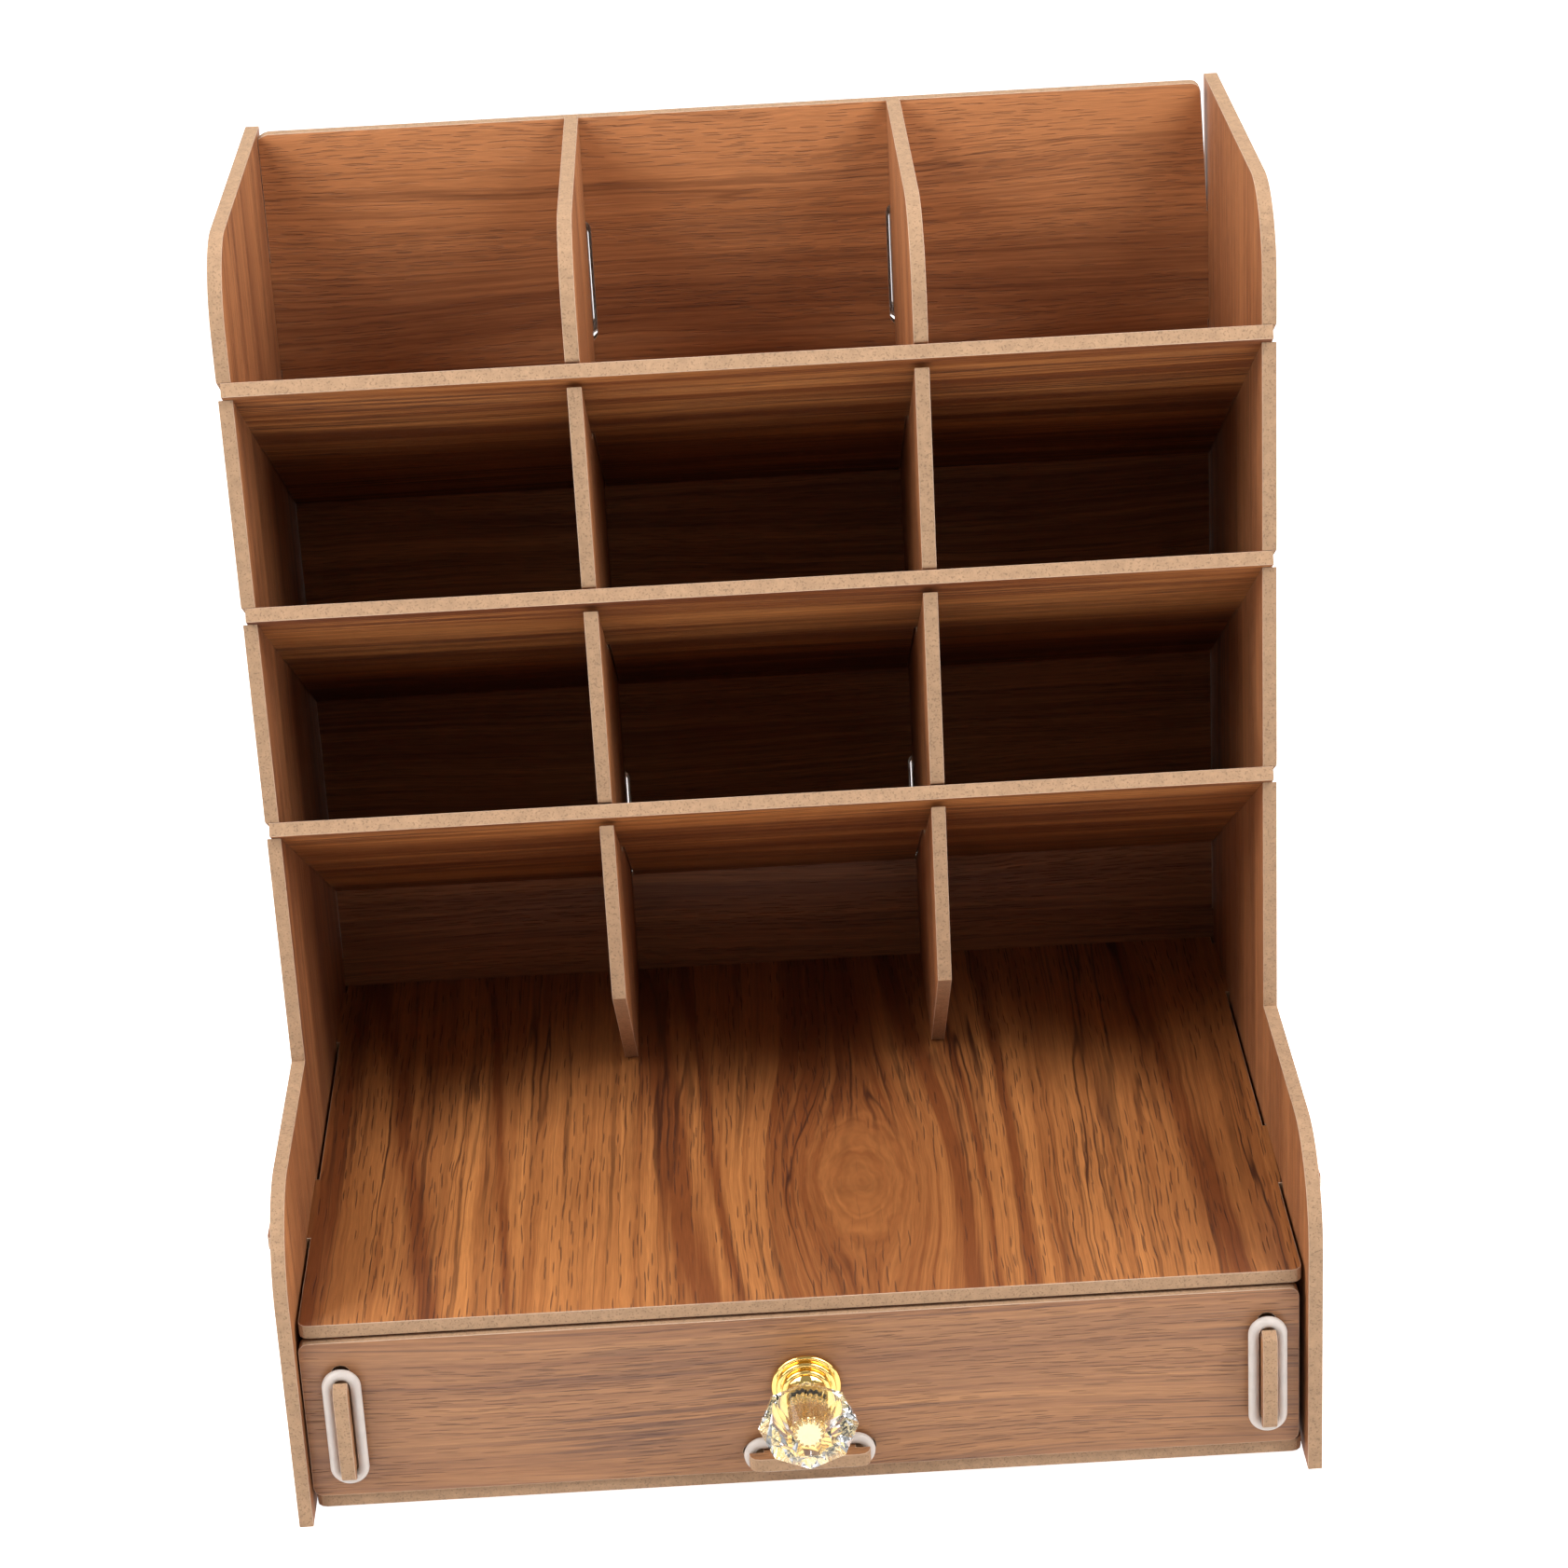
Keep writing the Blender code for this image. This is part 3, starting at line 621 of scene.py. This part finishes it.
def film_edge(name, colour):
    """Cut edge of the film, where its paper backing shows."""
    material, tree, shader = new_material(name)
    place = put(tree, "ShaderNodeTexCoord").outputs["Object"]
    tone = spread(tree, clouds(tree, place, film_edge_scales), *noise_span, *film_edge_tones)
    set_inputs(tree, shader, {"Base Color": shaded(tree, colour, tone), "Roughness": 0.6})
    return material


def milky_elastic(name, colour):
    """Milky elastic that lets a little light in."""
    material, tree, shader = new_material(name)
    place = put(tree, "ShaderNodeTexCoord").outputs["Object"]
    cloud = clouds(tree, place, elastic_scales)
    set_inputs(tree, shader, {
        "Base Color": shaded(tree, colour, spread(tree, cloud, *noise_span, *elastic_tones)),
        "Roughness": spread(tree, cloud, *noise_span, *elastic_roughness),
        "Subsurface Weight": 0.6,
        "Subsurface Radius": (1.0, 0.95, 0.9),
        "Subsurface Scale": 0.0015,
        "Transmission Weight": 0.22,
        "IOR": 1.42,
    })
    return material


def plated(name, colour, roughness):
    """Plated metal with faint polishing marks, its roughness in a range."""
    material, tree, shader = new_material(name)
    place = put(tree, "ShaderNodeTexCoord").outputs["Object"]
    marks = clouds(tree, place, polish_scales)
    set_inputs(tree, shader, {
        "Base Color": shaded(tree, colour, spread(tree, marks, *noise_span, *metal_tones)),
        "Metallic": 1.0,
        "Roughness": spread(tree, marks, *noise_span, *roughness),
    })
    return material


def clear_plastic(name, colour):
    """Clear moulded plastic with polished facets."""
    material, tree, shader = new_material(name)
    place = put(tree, "ShaderNodeTexCoord").outputs["Object"]
    haze = clouds(tree, place, haze_scales)
    set_inputs(tree, shader, {
        "Base Color": (*colour, 1.0),
        "Roughness": spread(tree, haze, *haze_range, *haze_roughness),
        "Transmission Weight": 1.0,
        "IOR": 1.49,
    })
    return material


def placed(name, data):
    """New object in the scene."""
    item = bpy.data.objects.new(name, data)
    bpy.context.scene.collection.objects.link(item)
    return item


def shown(name, mesh, body, slot, *nodes):
    """Show a finished mesh as one piece that rides on a body and stands for CAD nodes."""
    piece = placed(name, mesh)
    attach(piece, body)
    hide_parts(*nodes)
    return piece


def board_outline(node):
    """Loops of points on a board's middle plane, its normal and half its thickness.

    The outer loop runs with the board on its left, seen along the normal from above, and so
    does each hole's loop.
    """
    shape = bmesh.new()
    shape.from_mesh(frame["nodes"][node].data)
    bmesh.ops.remove_doubles(shape, verts=shape.verts, dist=weld)
    shape.normal_update()
    normal = max(shape.faces, key=lambda face: face.calc_area()).normal.copy()
    if normal.dot(outward) < 0:
        normal.negate()
    heights = [vert.co.dot(normal) for vert in shape.verts]
    half = (max(heights) - min(heights)) / 2
    lid = {face for face in shape.faces if face.normal.dot(normal) > flat_cosine}
    following = {}
    for face in lid:
        for corner in face.loops:
            if not any(other in lid for other in corner.edge.link_faces if other is not face):
                following[corner.vert] = corner.link_loop_next.vert
    loops = []
    while following:
        first, vert = following.popitem()
        loop = [first]
        while vert is not first:
            loop.append(vert)
            vert = following.pop(vert)
        loops.append([point.co - normal * half for point in loop])
    shape.free()
    return loops, normal, half


def closed_up(loops, neighbour):
    """Bring a board's edges up to the faces of a neighbour, where it is drawn clear of them."""
    others, normal, half = board_outline(neighbour)
    middle = others[0][0].dot(normal)
    low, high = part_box(neighbour)
    for loop in loops:
        for point in loop:
            away = point.dot(normal) - middle
            side = math.copysign(1.0, away)
            play = abs(away) - half
            near = all(low[axis] - widest_play < point[axis] < high[axis] + widest_play for axis in (1, 2))
            if near and 0 < play < widest_play:
                point -= normal * side * (play - contact)


def drawn_in(loop, normal):
    """For each point of a loop, the step into the board that moves its two edges by one."""
    steps = []
    for index, point in enumerate(loop):
        before = (point - loop[index - 1]).normalized()
        after = (loop[(index + 1) % len(loop)] - point).normalized()
        left, ahead = normal.cross(before), normal.cross(after)
        steps.append((left + ahead) / (1.0 + left.dot(ahead)))
    return steps


def board_mesh(name, node, grain, start, settings):
    """Board with rounded edges, a film on each face and its core between them."""
    loops, normal, half = board_outline(node)
    for neighbour in neighbours.get(node, ()):
        closed_up(loops, neighbour)
    beside = normal.cross(grain)
    turns = [math.pi / 2 * step / round_steps for step in range(round_steps + 1)]
    radius = settings.edge_round
    levels = [(radius * (1 - math.sin(turn)), half - radius * (1 - math.cos(turn))) for turn in turns]
    levels.append((0.0, half - settings.film))
    levels += [(inset, -height) for inset, height in reversed(levels)]
    core_strip = len(levels) // 2 - 1

    places, faces, kinds, smooth = [], [], [], []
    starts = []
    for loop in loops:
        steps = drawn_in(loop, normal)
        starts.append(len(places))
        for inset, height in levels:
            places += [point + step * inset + normal * height for point, step in zip(loop, steps)]
    for loop, first in zip(loops, starts):
        count = len(loop)
        for strip in range(len(levels) - 1):
            upper, lower = first + strip * count, first + (strip + 1) * count
            for index in range(count):
                ahead = (index + 1) % count
                faces.append((upper + index, lower + index, lower + ahead, upper + ahead))
                kinds.append(core_index if strip == core_strip else film_edge_index)
                smooth.append(True)
    for level, side in ((0, 1), (len(levels) - 1, -1)):
        rims = [[places[first + level * len(loop) + index] for index in range(len(loop))]
                for loop, first in zip(loops, starts)]
        numbers = [first + level * len(loop) + index
                   for loop, first in zip(loops, starts) for index in range(len(loop))]
        flat = [[Vector((point.dot(grain), point.dot(beside), 0.0)) for point in rim] for rim in rims]
        for triangle in tessellate_polygon(flat):
            corners = [numbers[index] for index in triangle]
            a, b, c = (places[number] for number in corners)
            if (b - a).cross(c - a).dot(normal) * side < 0:
                corners.reverse()
            faces.append(tuple(corners))
            kinds.append(film_index)
            smooth.append(False)

    mesh = bpy.data.meshes.new(name)
    mesh.from_pydata(places, [], faces)
    mesh.polygons.foreach_set("material_index", kinds)
    mesh.polygons.foreach_set("use_smooth", smooth)
    mesh.set_sharp_from_angle(angle=smooth_angle)
    grain_map = mesh.uv_layers.new(name="grain")
    for polygon in mesh.polygons:
        side = 1.0 if polygon.normal.dot(normal) > 0 else -1.0
        for corner in polygon.loop_indices:
            point = places[mesh.loops[corner].vertex_index]
            over = start[1] + point.dot(beside) + (0.0 if side > 0 else half * underside_halves)
            grain_map.data[corner].uv = (start[0] + point.dot(grain), over)
    return mesh


def board_materials(settings):
    """Laminates, film edge and core, made once and shared by the boards."""
    if "board_laminate" not in bpy.data.materials:
        laminate("board_laminate", settings.board_pale, settings.board_dark, board_look)
        laminate("back_laminate", settings.board_pale, settings.board_dark, back_look)
        laminate("row_laminate", settings.tray_pale, settings.tray_dark, row_look)
        laminate("tray_laminate", settings.tray_pale, settings.tray_dark, tray_look,
                 tray_eye, tray_streaks)
        laminate("drawer_laminate", settings.drawer_pale, settings.drawer_dark, drawer_look)
        fibre_core("fibre_core", settings.core_colour)
        film_edge("film_edge", settings.film_colour)
    return bpy.data.materials


def finish_boards(context, *names):
    """Show the named boards with their laminates."""
    settings = context.scene.organizer_boards
    materials = board_materials(settings)
    for node, body, grain, film, start in board_plan:
        if node not in names:
            continue
        name = node + "_finished"
        mesh = board_mesh(name, node, grain, start, settings)
        mesh.materials.append(materials[film + "_laminate"])
        mesh.materials.append(materials["film_edge"])
        mesh.materials.append(materials["fibre_core"])
        slot = "tray_wood" if film == "tray" else "board_wood"
        shown(name, mesh, body, slot, node)


class CabinetBoards(bpy.types.Operator):
    """Finish the side panels, back panel, column dividers and base board."""

    bl_idname = "organizer.cabinet_boards"
    bl_label = "Cabinet boards"

    def execute(self, context):
        finish_boards(context, "left_side_panel", "right_side_panel", "back_panel",
                      "left_column_divider", "right_column_divider", "base_board")
        return {"FINISHED"}


class RowDividers(bpy.types.Operator):
    """Finish the three sloping row dividers."""

    bl_idname = "organizer.row_dividers"
    bl_label = "Row dividers"

    def execute(self, context):
        finish_boards(context, "row_divider_top", "row_divider_middle", "row_divider_bottom")
        return {"FINISHED"}


class TrayBoard(bpy.types.Operator):
    """Finish the tray above the drawer."""

    bl_idname = "organizer.tray_board"
    bl_label = "Tray board"

    def execute(self, context):
        finish_boards(context, "tray_board")
        return {"FINISHED"}


class DrawerBoards(bpy.types.Operator):
    """Finish the drawer's five boards."""

    bl_idname = "organizer.drawer_boards"
    bl_label = "Drawer boards"

    def execute(self, context):
        finish_boards(context, "drawer_front", "drawer_back", "drawer_left_side",
                      "drawer_right_side", "drawer_bottom")
        return {"FINISHED"}


def ring_tree(material):
    """Geometry Nodes that set one elastic ring on each point, turned by the point's directions."""
    tree = bpy.data.node_groups.new("Elastic rings", "GeometryNodeTree")
    tree.is_modifier = True
    inputs = {"Geometry": "Geometry", "Cord radius": "Float", "Bend radius": "Float",
              "Half straight": "Float", "Loop steps": "Int", "Cord sides": "Int"}
    for name, kind in inputs.items():
        tree.interface.new_socket(name=name, in_out="INPUT", socket_type="NodeSocket" + kind)
    tree.interface.new_socket(name="Geometry", in_out="OUTPUT", socket_type="NodeSocketGeometry")
    given = put(tree, "NodeGroupInput").outputs

    loop = put(tree, "GeometryNodeCurvePrimitiveCircle",
               {"Resolution": given["Loop steps"], "Radius": given["Bend radius"]}).outputs["Curve"]
    position = put(tree, "GeometryNodeInputPosition").outputs[0]
    side = put(tree, "ShaderNodeSeparateXYZ", {0: position}).outputs[0]
    shift = times(tree, maths(tree, "SIGN", side), given["Half straight"])
    offset = put(tree, "ShaderNodeCombineXYZ", {0: shift}).outputs[0]
    loop = put(tree, "GeometryNodeSetPosition", {"Geometry": loop, "Offset": offset}).outputs[0]
    cord = put(tree, "GeometryNodeCurvePrimitiveCircle",
               {"Resolution": given["Cord sides"], "Radius": given["Cord radius"]}).outputs["Curve"]
    ring = put(tree, "GeometryNodeCurveToMesh", {"Curve": loop, "Profile Curve": cord}).outputs[0]
    ring = put(tree, "GeometryNodeSetShadeSmooth", {"Geometry": ring, "Shade Smooth": True}).outputs[0]

    facing = put(tree, "GeometryNodeInputNamedAttribute", {"Name": "facing"}, data_type="FLOAT_VECTOR")
    along = put(tree, "GeometryNodeInputNamedAttribute", {"Name": "along"}, data_type="FLOAT_VECTOR")
    turn = put(tree, "FunctionNodeAxesToRotation",
               {0: facing.outputs["Attribute"], 1: along.outputs["Attribute"]},
               primary_axis="Z", secondary_axis="X").outputs[0]
    points = put(tree, "GeometryNodeMeshToPoints", {"Mesh": given["Geometry"]}).outputs[0]
    rings = put(tree, "GeometryNodeInstanceOnPoints",
                {"Points": points, "Instance": ring, "Rotation": turn}).outputs[0]
    rings = put(tree, "GeometryNodeRealizeInstances", {"Geometry": rings}).outputs[0]
    rings = put(tree, "GeometryNodeSetMaterial", {"Geometry": rings, "Material": material}).outputs[0]
    put(tree, "NodeGroupOutput", {"Geometry": rings})
    return tree


def ring_points(name, nodes):
    """Mesh of one point for each ring node, with the ring's own directions."""
    middles, facings, alongs = [], [], []
    for node in nodes:
        low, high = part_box(node)
        size = high - low
        axes = sorted(range(3), key=lambda axis: size[axis])
        directions = (across, backward, upward)
        middles.append((low + high) / 2)
        facings.append(directions[axes[0]])
        alongs.append(directions[axes[2]])
    mesh = bpy.data.meshes.new(name)
    mesh.from_pydata(middles, [], [])
    for label, values in (("facing", facings), ("along", alongs)):
        attribute = mesh.attributes.new(label, "FLOAT_VECTOR", "POINT")
        attribute.data.foreach_set("vector", [number for value in values for number in value])
    return mesh


def plain_mesh(name, source, tree, values):
    """Run a tree on a mesh and return what it makes as a plain mesh."""
    piece = placed(name, source)
    modifier = piece.modifiers.new("rings", "NODES")
    modifier.node_group = tree
    for item in tree.interface.items_tree:
        if item.in_out == "INPUT" and item.name in values:
            modifier[item.identifier] = values[item.name]
    bpy.context.view_layer.update()
    evaluated = piece.evaluated_get(bpy.context.evaluated_depsgraph_get())
    mesh = bpy.data.meshes.new_from_object(evaluated)
    mesh.name = name
    piece.modifiers.clear()
    bpy.data.objects.remove(piece)
    return mesh


class ElasticRings(bpy.types.Operator):
    """Make the elastic rings round the tabs, as one piece for each body."""

    bl_idname = "organizer.elastic_rings"
    bl_label = "Elastic rings"

    def execute(self, context):
        settings = context.scene.organizer_rings
        material = milky_elastic("milky_elastic", settings.colour)
        tree = ring_tree(material)
        values = {
            "Cord radius": settings.cord_radius,
            "Bend radius": settings.bend_radius,
            "Half straight": settings.half_straight,
            "Loop steps": settings.loop_steps,
            "Cord sides": settings.cord_sides,
        }
        for body, members in frame["record"]["behaviour"]["bodies"].items():
            nodes = [node for node in members if "_ring_" in node]
            name = body + "_elastic_rings"
            mesh = plain_mesh(name, ring_points(name, nodes), tree, values)
            shown(name, mesh, body, "elastic", *nodes)
        return {"FINISHED"}


def knob_axis():
    """Middle of the knob's axis at the rosette's rear end, in the frame."""
    low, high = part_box("knob_rosette")
    return Vector(((low.x + high.x) / 2, high.y, (low.z + high.z) / 2))


def turned(name, profile, steps, flute=0.0, flutes=0):
    """Closed profile (forward, radius) turned about the knob's axis, with flutes if it has any."""
    origin = knob_axis()
    shape = bmesh.new()
    rings = []
    for forward, radius in profile:
        if radius == 0:
            rings.append([shape.verts.new(origin + Vector((0.0, -forward, 0.0)))] * steps)
            continue
        ring = []
        for step in range(steps):
            turn = math.tau * step / steps
            reach = radius - flute * (0.5 - 0.5 * math.cos(turn * flutes))
            step_out = Vector((reach * math.cos(turn), -forward, reach * math.sin(turn)))
            ring.append(shape.verts.new(origin + step_out))
        rings.append(ring)
    pairs = list(zip(rings, rings[1:]))
    if profile[0][1] > 0:
        pairs.append((rings[-1], rings[0]))
    for here, after in pairs:
        for step in range(steps):
            ahead = (step + 1) % steps
            corners = [here[step], here[ahead], after[ahead], after[step]]
            shape.faces.new(list(dict.fromkeys(corners)))
    bmesh.ops.recalc_face_normals(shape, faces=shape.faces)
    mesh = bpy.data.meshes.new(name)
    shape.to_mesh(mesh)
    shape.free()
    mesh.shade_smooth()
    mesh.set_sharp_from_angle(angle=smooth_angle)
    return mesh


def bead(start, end, inner, outer):
    """Half round bead of a profile between two lengths, from its inner to its outer radius."""
    middle, half = (start + end) / 2, (end - start) / 2
    points = []
    for step in range(bead_steps + 1):
        turn = math.pi * step / bead_steps
        points.append((middle - half * math.cos(turn), inner + (outer - inner) * math.sin(turn)))
    return points


class Rosette(bpy.types.Operator):
    """Turn the knob's gold rosette."""

    bl_idname = "organizer.rosette"
    bl_label = "Rosette"

    def execute(self, context):
        settings = context.scene.organizer_knob
        profile = [(0.0, rosette_bore)]
        for values in rosette_beads:
            profile += bead(*values)
        profile += list(rosette_neck) + bead(*rosette_cup)
        profile.append((rosette_cup[1], rosette_bore))
        mesh = turned("knob_rosette_finished", profile, settings.turned_steps)
        mesh.materials.append(plated("plated_gold", settings.gold, gold_roughness))
        shown("knob_rosette_finished", mesh, "drawer", "rosette_gold", "knob_rosette")
        return {"FINISHED"}


class Crystal(bpy.types.Operator):
    """Take the clear knob's facets from its node, moulded solid round the insert."""

    bl_idname = "organizer.crystal"
    bl_label = "Clear knob"

    def execute(self, context):
        settings = context.scene.organizer_knob
        low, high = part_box("knob_insert")
        middle = (low + high) / 2
        wall = (high.x - low.x) / 2 + bore_wall
        shape = bmesh.new()
        shape.from_mesh(frame["nodes"]["knob_crystal"].data)
        bmesh.ops.remove_doubles(shape, verts=shape.verts, dist=weld)
        inner = [vert for vert in shape.verts
                 if math.hypot(vert.co.x - middle.x, vert.co.z - middle.z) < wall]
        bmesh.ops.delete(shape, geom=inner, context="VERTS")
        rim = [edge for edge in shape.edges if edge.is_boundary]
        bmesh.ops.contextual_create(shape, geom=rim)
        bmesh.ops.recalc_face_normals(shape, faces=shape.faces)
        mesh = bpy.data.meshes.new("knob_crystal_finished")
        shape.to_mesh(mesh)
        shape.free()
        mesh.materials.append(clear_plastic("clear_plastic", settings.clear))
        shown("knob_crystal_finished", mesh, "drawer", "knob_clear", "knob_crystal")
        return {"FINISHED"}


class Insert(bpy.types.Operator):
    """Turn the fluted insert inside the clear knob."""

    bl_idname = "organizer.insert"
    bl_label = "Insert"

    def execute(self, context):
        settings = context.scene.organizer_knob
        low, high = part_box("knob_insert")
        origin = knob_axis()
        start, end = origin.y - high.y, origin.y - low.y
        radius = (high.z - low.z) / 2
        chamfer = settings.flute_depth
        profile = [(start, 0.0), (start, radius), (end - chamfer, radius)]
        profile += [(end, radius - chamfer), (end, 0.0)]
        steps = settings.flutes * steps_per_flute
        mesh = turned("knob_insert_finished", profile, steps, settings.flute_depth, settings.flutes)
        mesh.materials.append(plated("plated_brass", settings.brass, brass_roughness))
        shown("knob_insert_finished", mesh, "drawer", "insert_brass", "knob_insert")
        return {"FINISHED"}


def cut_cross(mesh, middle):
    """Cut a cross into a screw's head, from its crown at the given middle."""
    shape = bmesh.new()
    for wide, tall in ((cross_half_length, cross_half_width), (cross_half_width, cross_half_length)):
        bar = bmesh.ops.create_cube(shape, size=2.0)["verts"]
        bmesh.ops.scale(shape, verts=bar, vec=(wide, cross_depth, tall))
        bmesh.ops.translate(shape, verts=bar, vec=middle)
    cutter_mesh = bpy.data.meshes.new("cross")
    shape.to_mesh(cutter_mesh)
    shape.free()
    cutter = placed("cross", cutter_mesh)
    head = placed("head", mesh)
    cut = head.modifiers.new("cross", "BOOLEAN")
    cut.operation = "DIFFERENCE"
    cut.use_self = True
    cut.object = cutter
    bpy.context.view_layer.update()
    result = bpy.data.meshes.new_from_object(head.evaluated_get(bpy.context.evaluated_depsgraph_get()))
    head.modifiers.clear()
    bpy.data.objects.remove(head)
    bpy.data.objects.remove(cutter)
    return result


class Screw(bpy.types.Operator):
    """Turn the screw that holds the knob from inside the drawer."""

    bl_idname = "organizer.screw"
    bl_label = "Screw"

    def execute(self, context):
        settings = context.scene.organizer_knob
        low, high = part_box("knob_screw")
        origin = knob_axis()
        head, tip = origin.y - high.y, origin.y - low.y
        profile = [(head + length, radius) for length, radius in head_round]
        profile += [(profile[-1][0], shank_radius), (tip - shank_radius, shank_radius), (tip, 0.0)]
        mesh = turned("knob_screw_turned", profile, settings.turned_steps)
        mesh = cut_cross(mesh, Vector((origin.x, high.y, origin.z)))
        mesh.name = "knob_screw_finished"
        mesh.set_sharp_from_angle(angle=smooth_angle)
        mesh.materials.append(plated("screw_steel", settings.steel, steel_roughness))
        shown("knob_screw_finished", mesh, "drawer", "screw_steel", "knob_screw")
        return {"FINISHED"}


def add_camera():
    """Camera at the photograph's place, with the lens that its perspective gives."""
    data = bpy.data.cameras.new("camera")
    data.sensor_width = sensor_width_mm
    data.lens = focal_pixels / picture_width * sensor_width_mm
    camera = placed("camera", data)
    back = -camera_forward.normalized()
    right = (camera_right - back * camera_right.dot(back)).normalized()
    turn = Matrix((right, back.cross(right), back)).transposed()
    camera.matrix_world = Matrix.Translation(camera_place) @ turn.to_4x4()
    bpy.context.scene.camera = camera


def add_light(name, bearing, rise, power):
    """Square soft light at a bearing from the front, in degrees to the right, and a rise."""
    bearing, rise = math.radians(bearing), math.radians(rise)
    data = bpy.data.lights.new(name, "AREA")
    data.shape = "SQUARE"
    data.size = light_size
    data.energy = power
    light = placed(name, data)
    away = Vector((math.sin(bearing) * math.cos(rise), -math.cos(bearing) * math.cos(rise), math.sin(rise)))
    light.location = light_aim + away * light_distance
    light.rotation_euler = away.to_track_quat("Z", "Y").to_euler()


def seen_share(tree, gloss_share, diffuse_share):
    """One where it is seen straight, a share in a gloss or clear piece, and a share as light on pieces."""
    ray = put(tree, "ShaderNodeLightPath").outputs
    straight = times(tree, ray["Is Camera Ray"], 1.0 - gloss_share)
    spread_out = times(tree, ray["Is Diffuse Ray"], diffuse_share - gloss_share)
    return plus(tree, plus(tree, straight, spread_out), gloss_share)


def add_floor(settings):
    """Plain white floor, which also shines a little by itself."""
    corners = [(x * floor_reach, y * floor_reach, 0.0) for x, y in ((-1, -1), (1, -1), (1, 1), (-1, 1))]
    mesh = bpy.data.meshes.new("floor")
    mesh.from_pydata(corners, [], [(0, 1, 2, 3)])
    material, tree, shader = new_material("floor")
    share = seen_share(tree, settings.gloss_share, settings.floor_bounce)
    set_inputs(tree, shader, {
        "Base Color": (*settings.floor_colour, 1.0),
        "Roughness": floor_roughness,
        "Emission Color": (1.0, 1.0, 1.0, 1.0),
        "Emission Strength": times(tree, share, settings.floor_glow),
    })
    mesh.materials.append(material)
    placed("floor", mesh)


def add_surround(settings):
    """Faint light from all round, which shows white to the camera and less so in a gloss."""
    world = bpy.data.worlds.new("surround")
    world.use_nodes = True
    tree = world.node_tree
    tree.nodes.clear()
    strength = seen_share(tree, settings.gloss_share, settings.surround)
    light = put(tree, "ShaderNodeBackground", {"Color": (1.0, 1.0, 1.0, 1.0), "Strength": strength})
    put(tree, "ShaderNodeOutputWorld", {"Surface": light.outputs[0]})
    bpy.context.scene.world = world


class Stage(bpy.types.Operator):
    """Set up the camera, the plain floor and the soft lights."""

    bl_idname = "organizer.stage"
    bl_label = "Stage"

    def execute(self, context):
        settings = context.scene.organizer_stage
        add_camera()
        add_floor(settings)
        for side_name, side in (("left", -1), ("right", 1)):
            for name, bearing, rise, power in light_pairs:
                add_light(side_name + "_" + name, side * bearing, rise, getattr(settings, power))
        add_light("rear_light", rear_bearing, rear_rise, settings.rear_power)
        add_surround(settings)
        context.scene.view_settings.view_transform = "Standard"
        return {"FINISHED"}


class OrganizerPanel(bpy.types.Panel):
    """Lists the organizer's pieces in the sidebar of the 3D view."""

    bl_idname = "ORGANIZER_PT_pieces"
    bl_label = "Desk Pen Organizer"
    bl_space_type = "VIEW_3D"
    bl_region_type = "UI"
    bl_category = "Organizer"

    def draw(self, context):
        for operator in operators:
            self.layout.operator(operator.bl_idname)


setting_groups = {
    "organizer_boards": BoardSettings,
    "organizer_rings": RingSettings,
    "organizer_knob": KnobSettings,
    "organizer_stage": StageSettings,
}
operators = (CabinetBoards, RowDividers, TrayBoard, DrawerBoards, ElasticRings,
             Rosette, Crystal, Insert, Screw, Stage)


def register():
    """Register the settings, the operators and the panel."""
    for name, group in setting_groups.items():
        bpy.utils.register_class(group)
        setattr(bpy.types.Scene, name, PointerProperty(type=group))
    for operator in operators:
        bpy.utils.register_class(operator)
    bpy.utils.register_class(OrganizerPanel)


def unregister():
    """Take away what register added."""
    bpy.utils.unregister_class(OrganizerPanel)
    for operator in reversed(operators):
        bpy.utils.unregister_class(operator)
    for name, group in reversed(list(setting_groups.items())):
        delattr(bpy.types.Scene, name)
        bpy.utils.unregister_class(group)


def main():
    """Make every piece in order."""
    register()
    bpy.ops.organizer.stage()
    bpy.ops.organizer.cabinet_boards()
    bpy.ops.organizer.row_dividers()
    bpy.ops.organizer.tray_board()
    bpy.ops.organizer.drawer_boards()
    bpy.ops.organizer.elastic_rings()
    bpy.ops.organizer.rosette()
    bpy.ops.organizer.crystal()
    bpy.ops.organizer.insert()
    bpy.ops.organizer.screw()


if __name__ == "__main__":
    main()
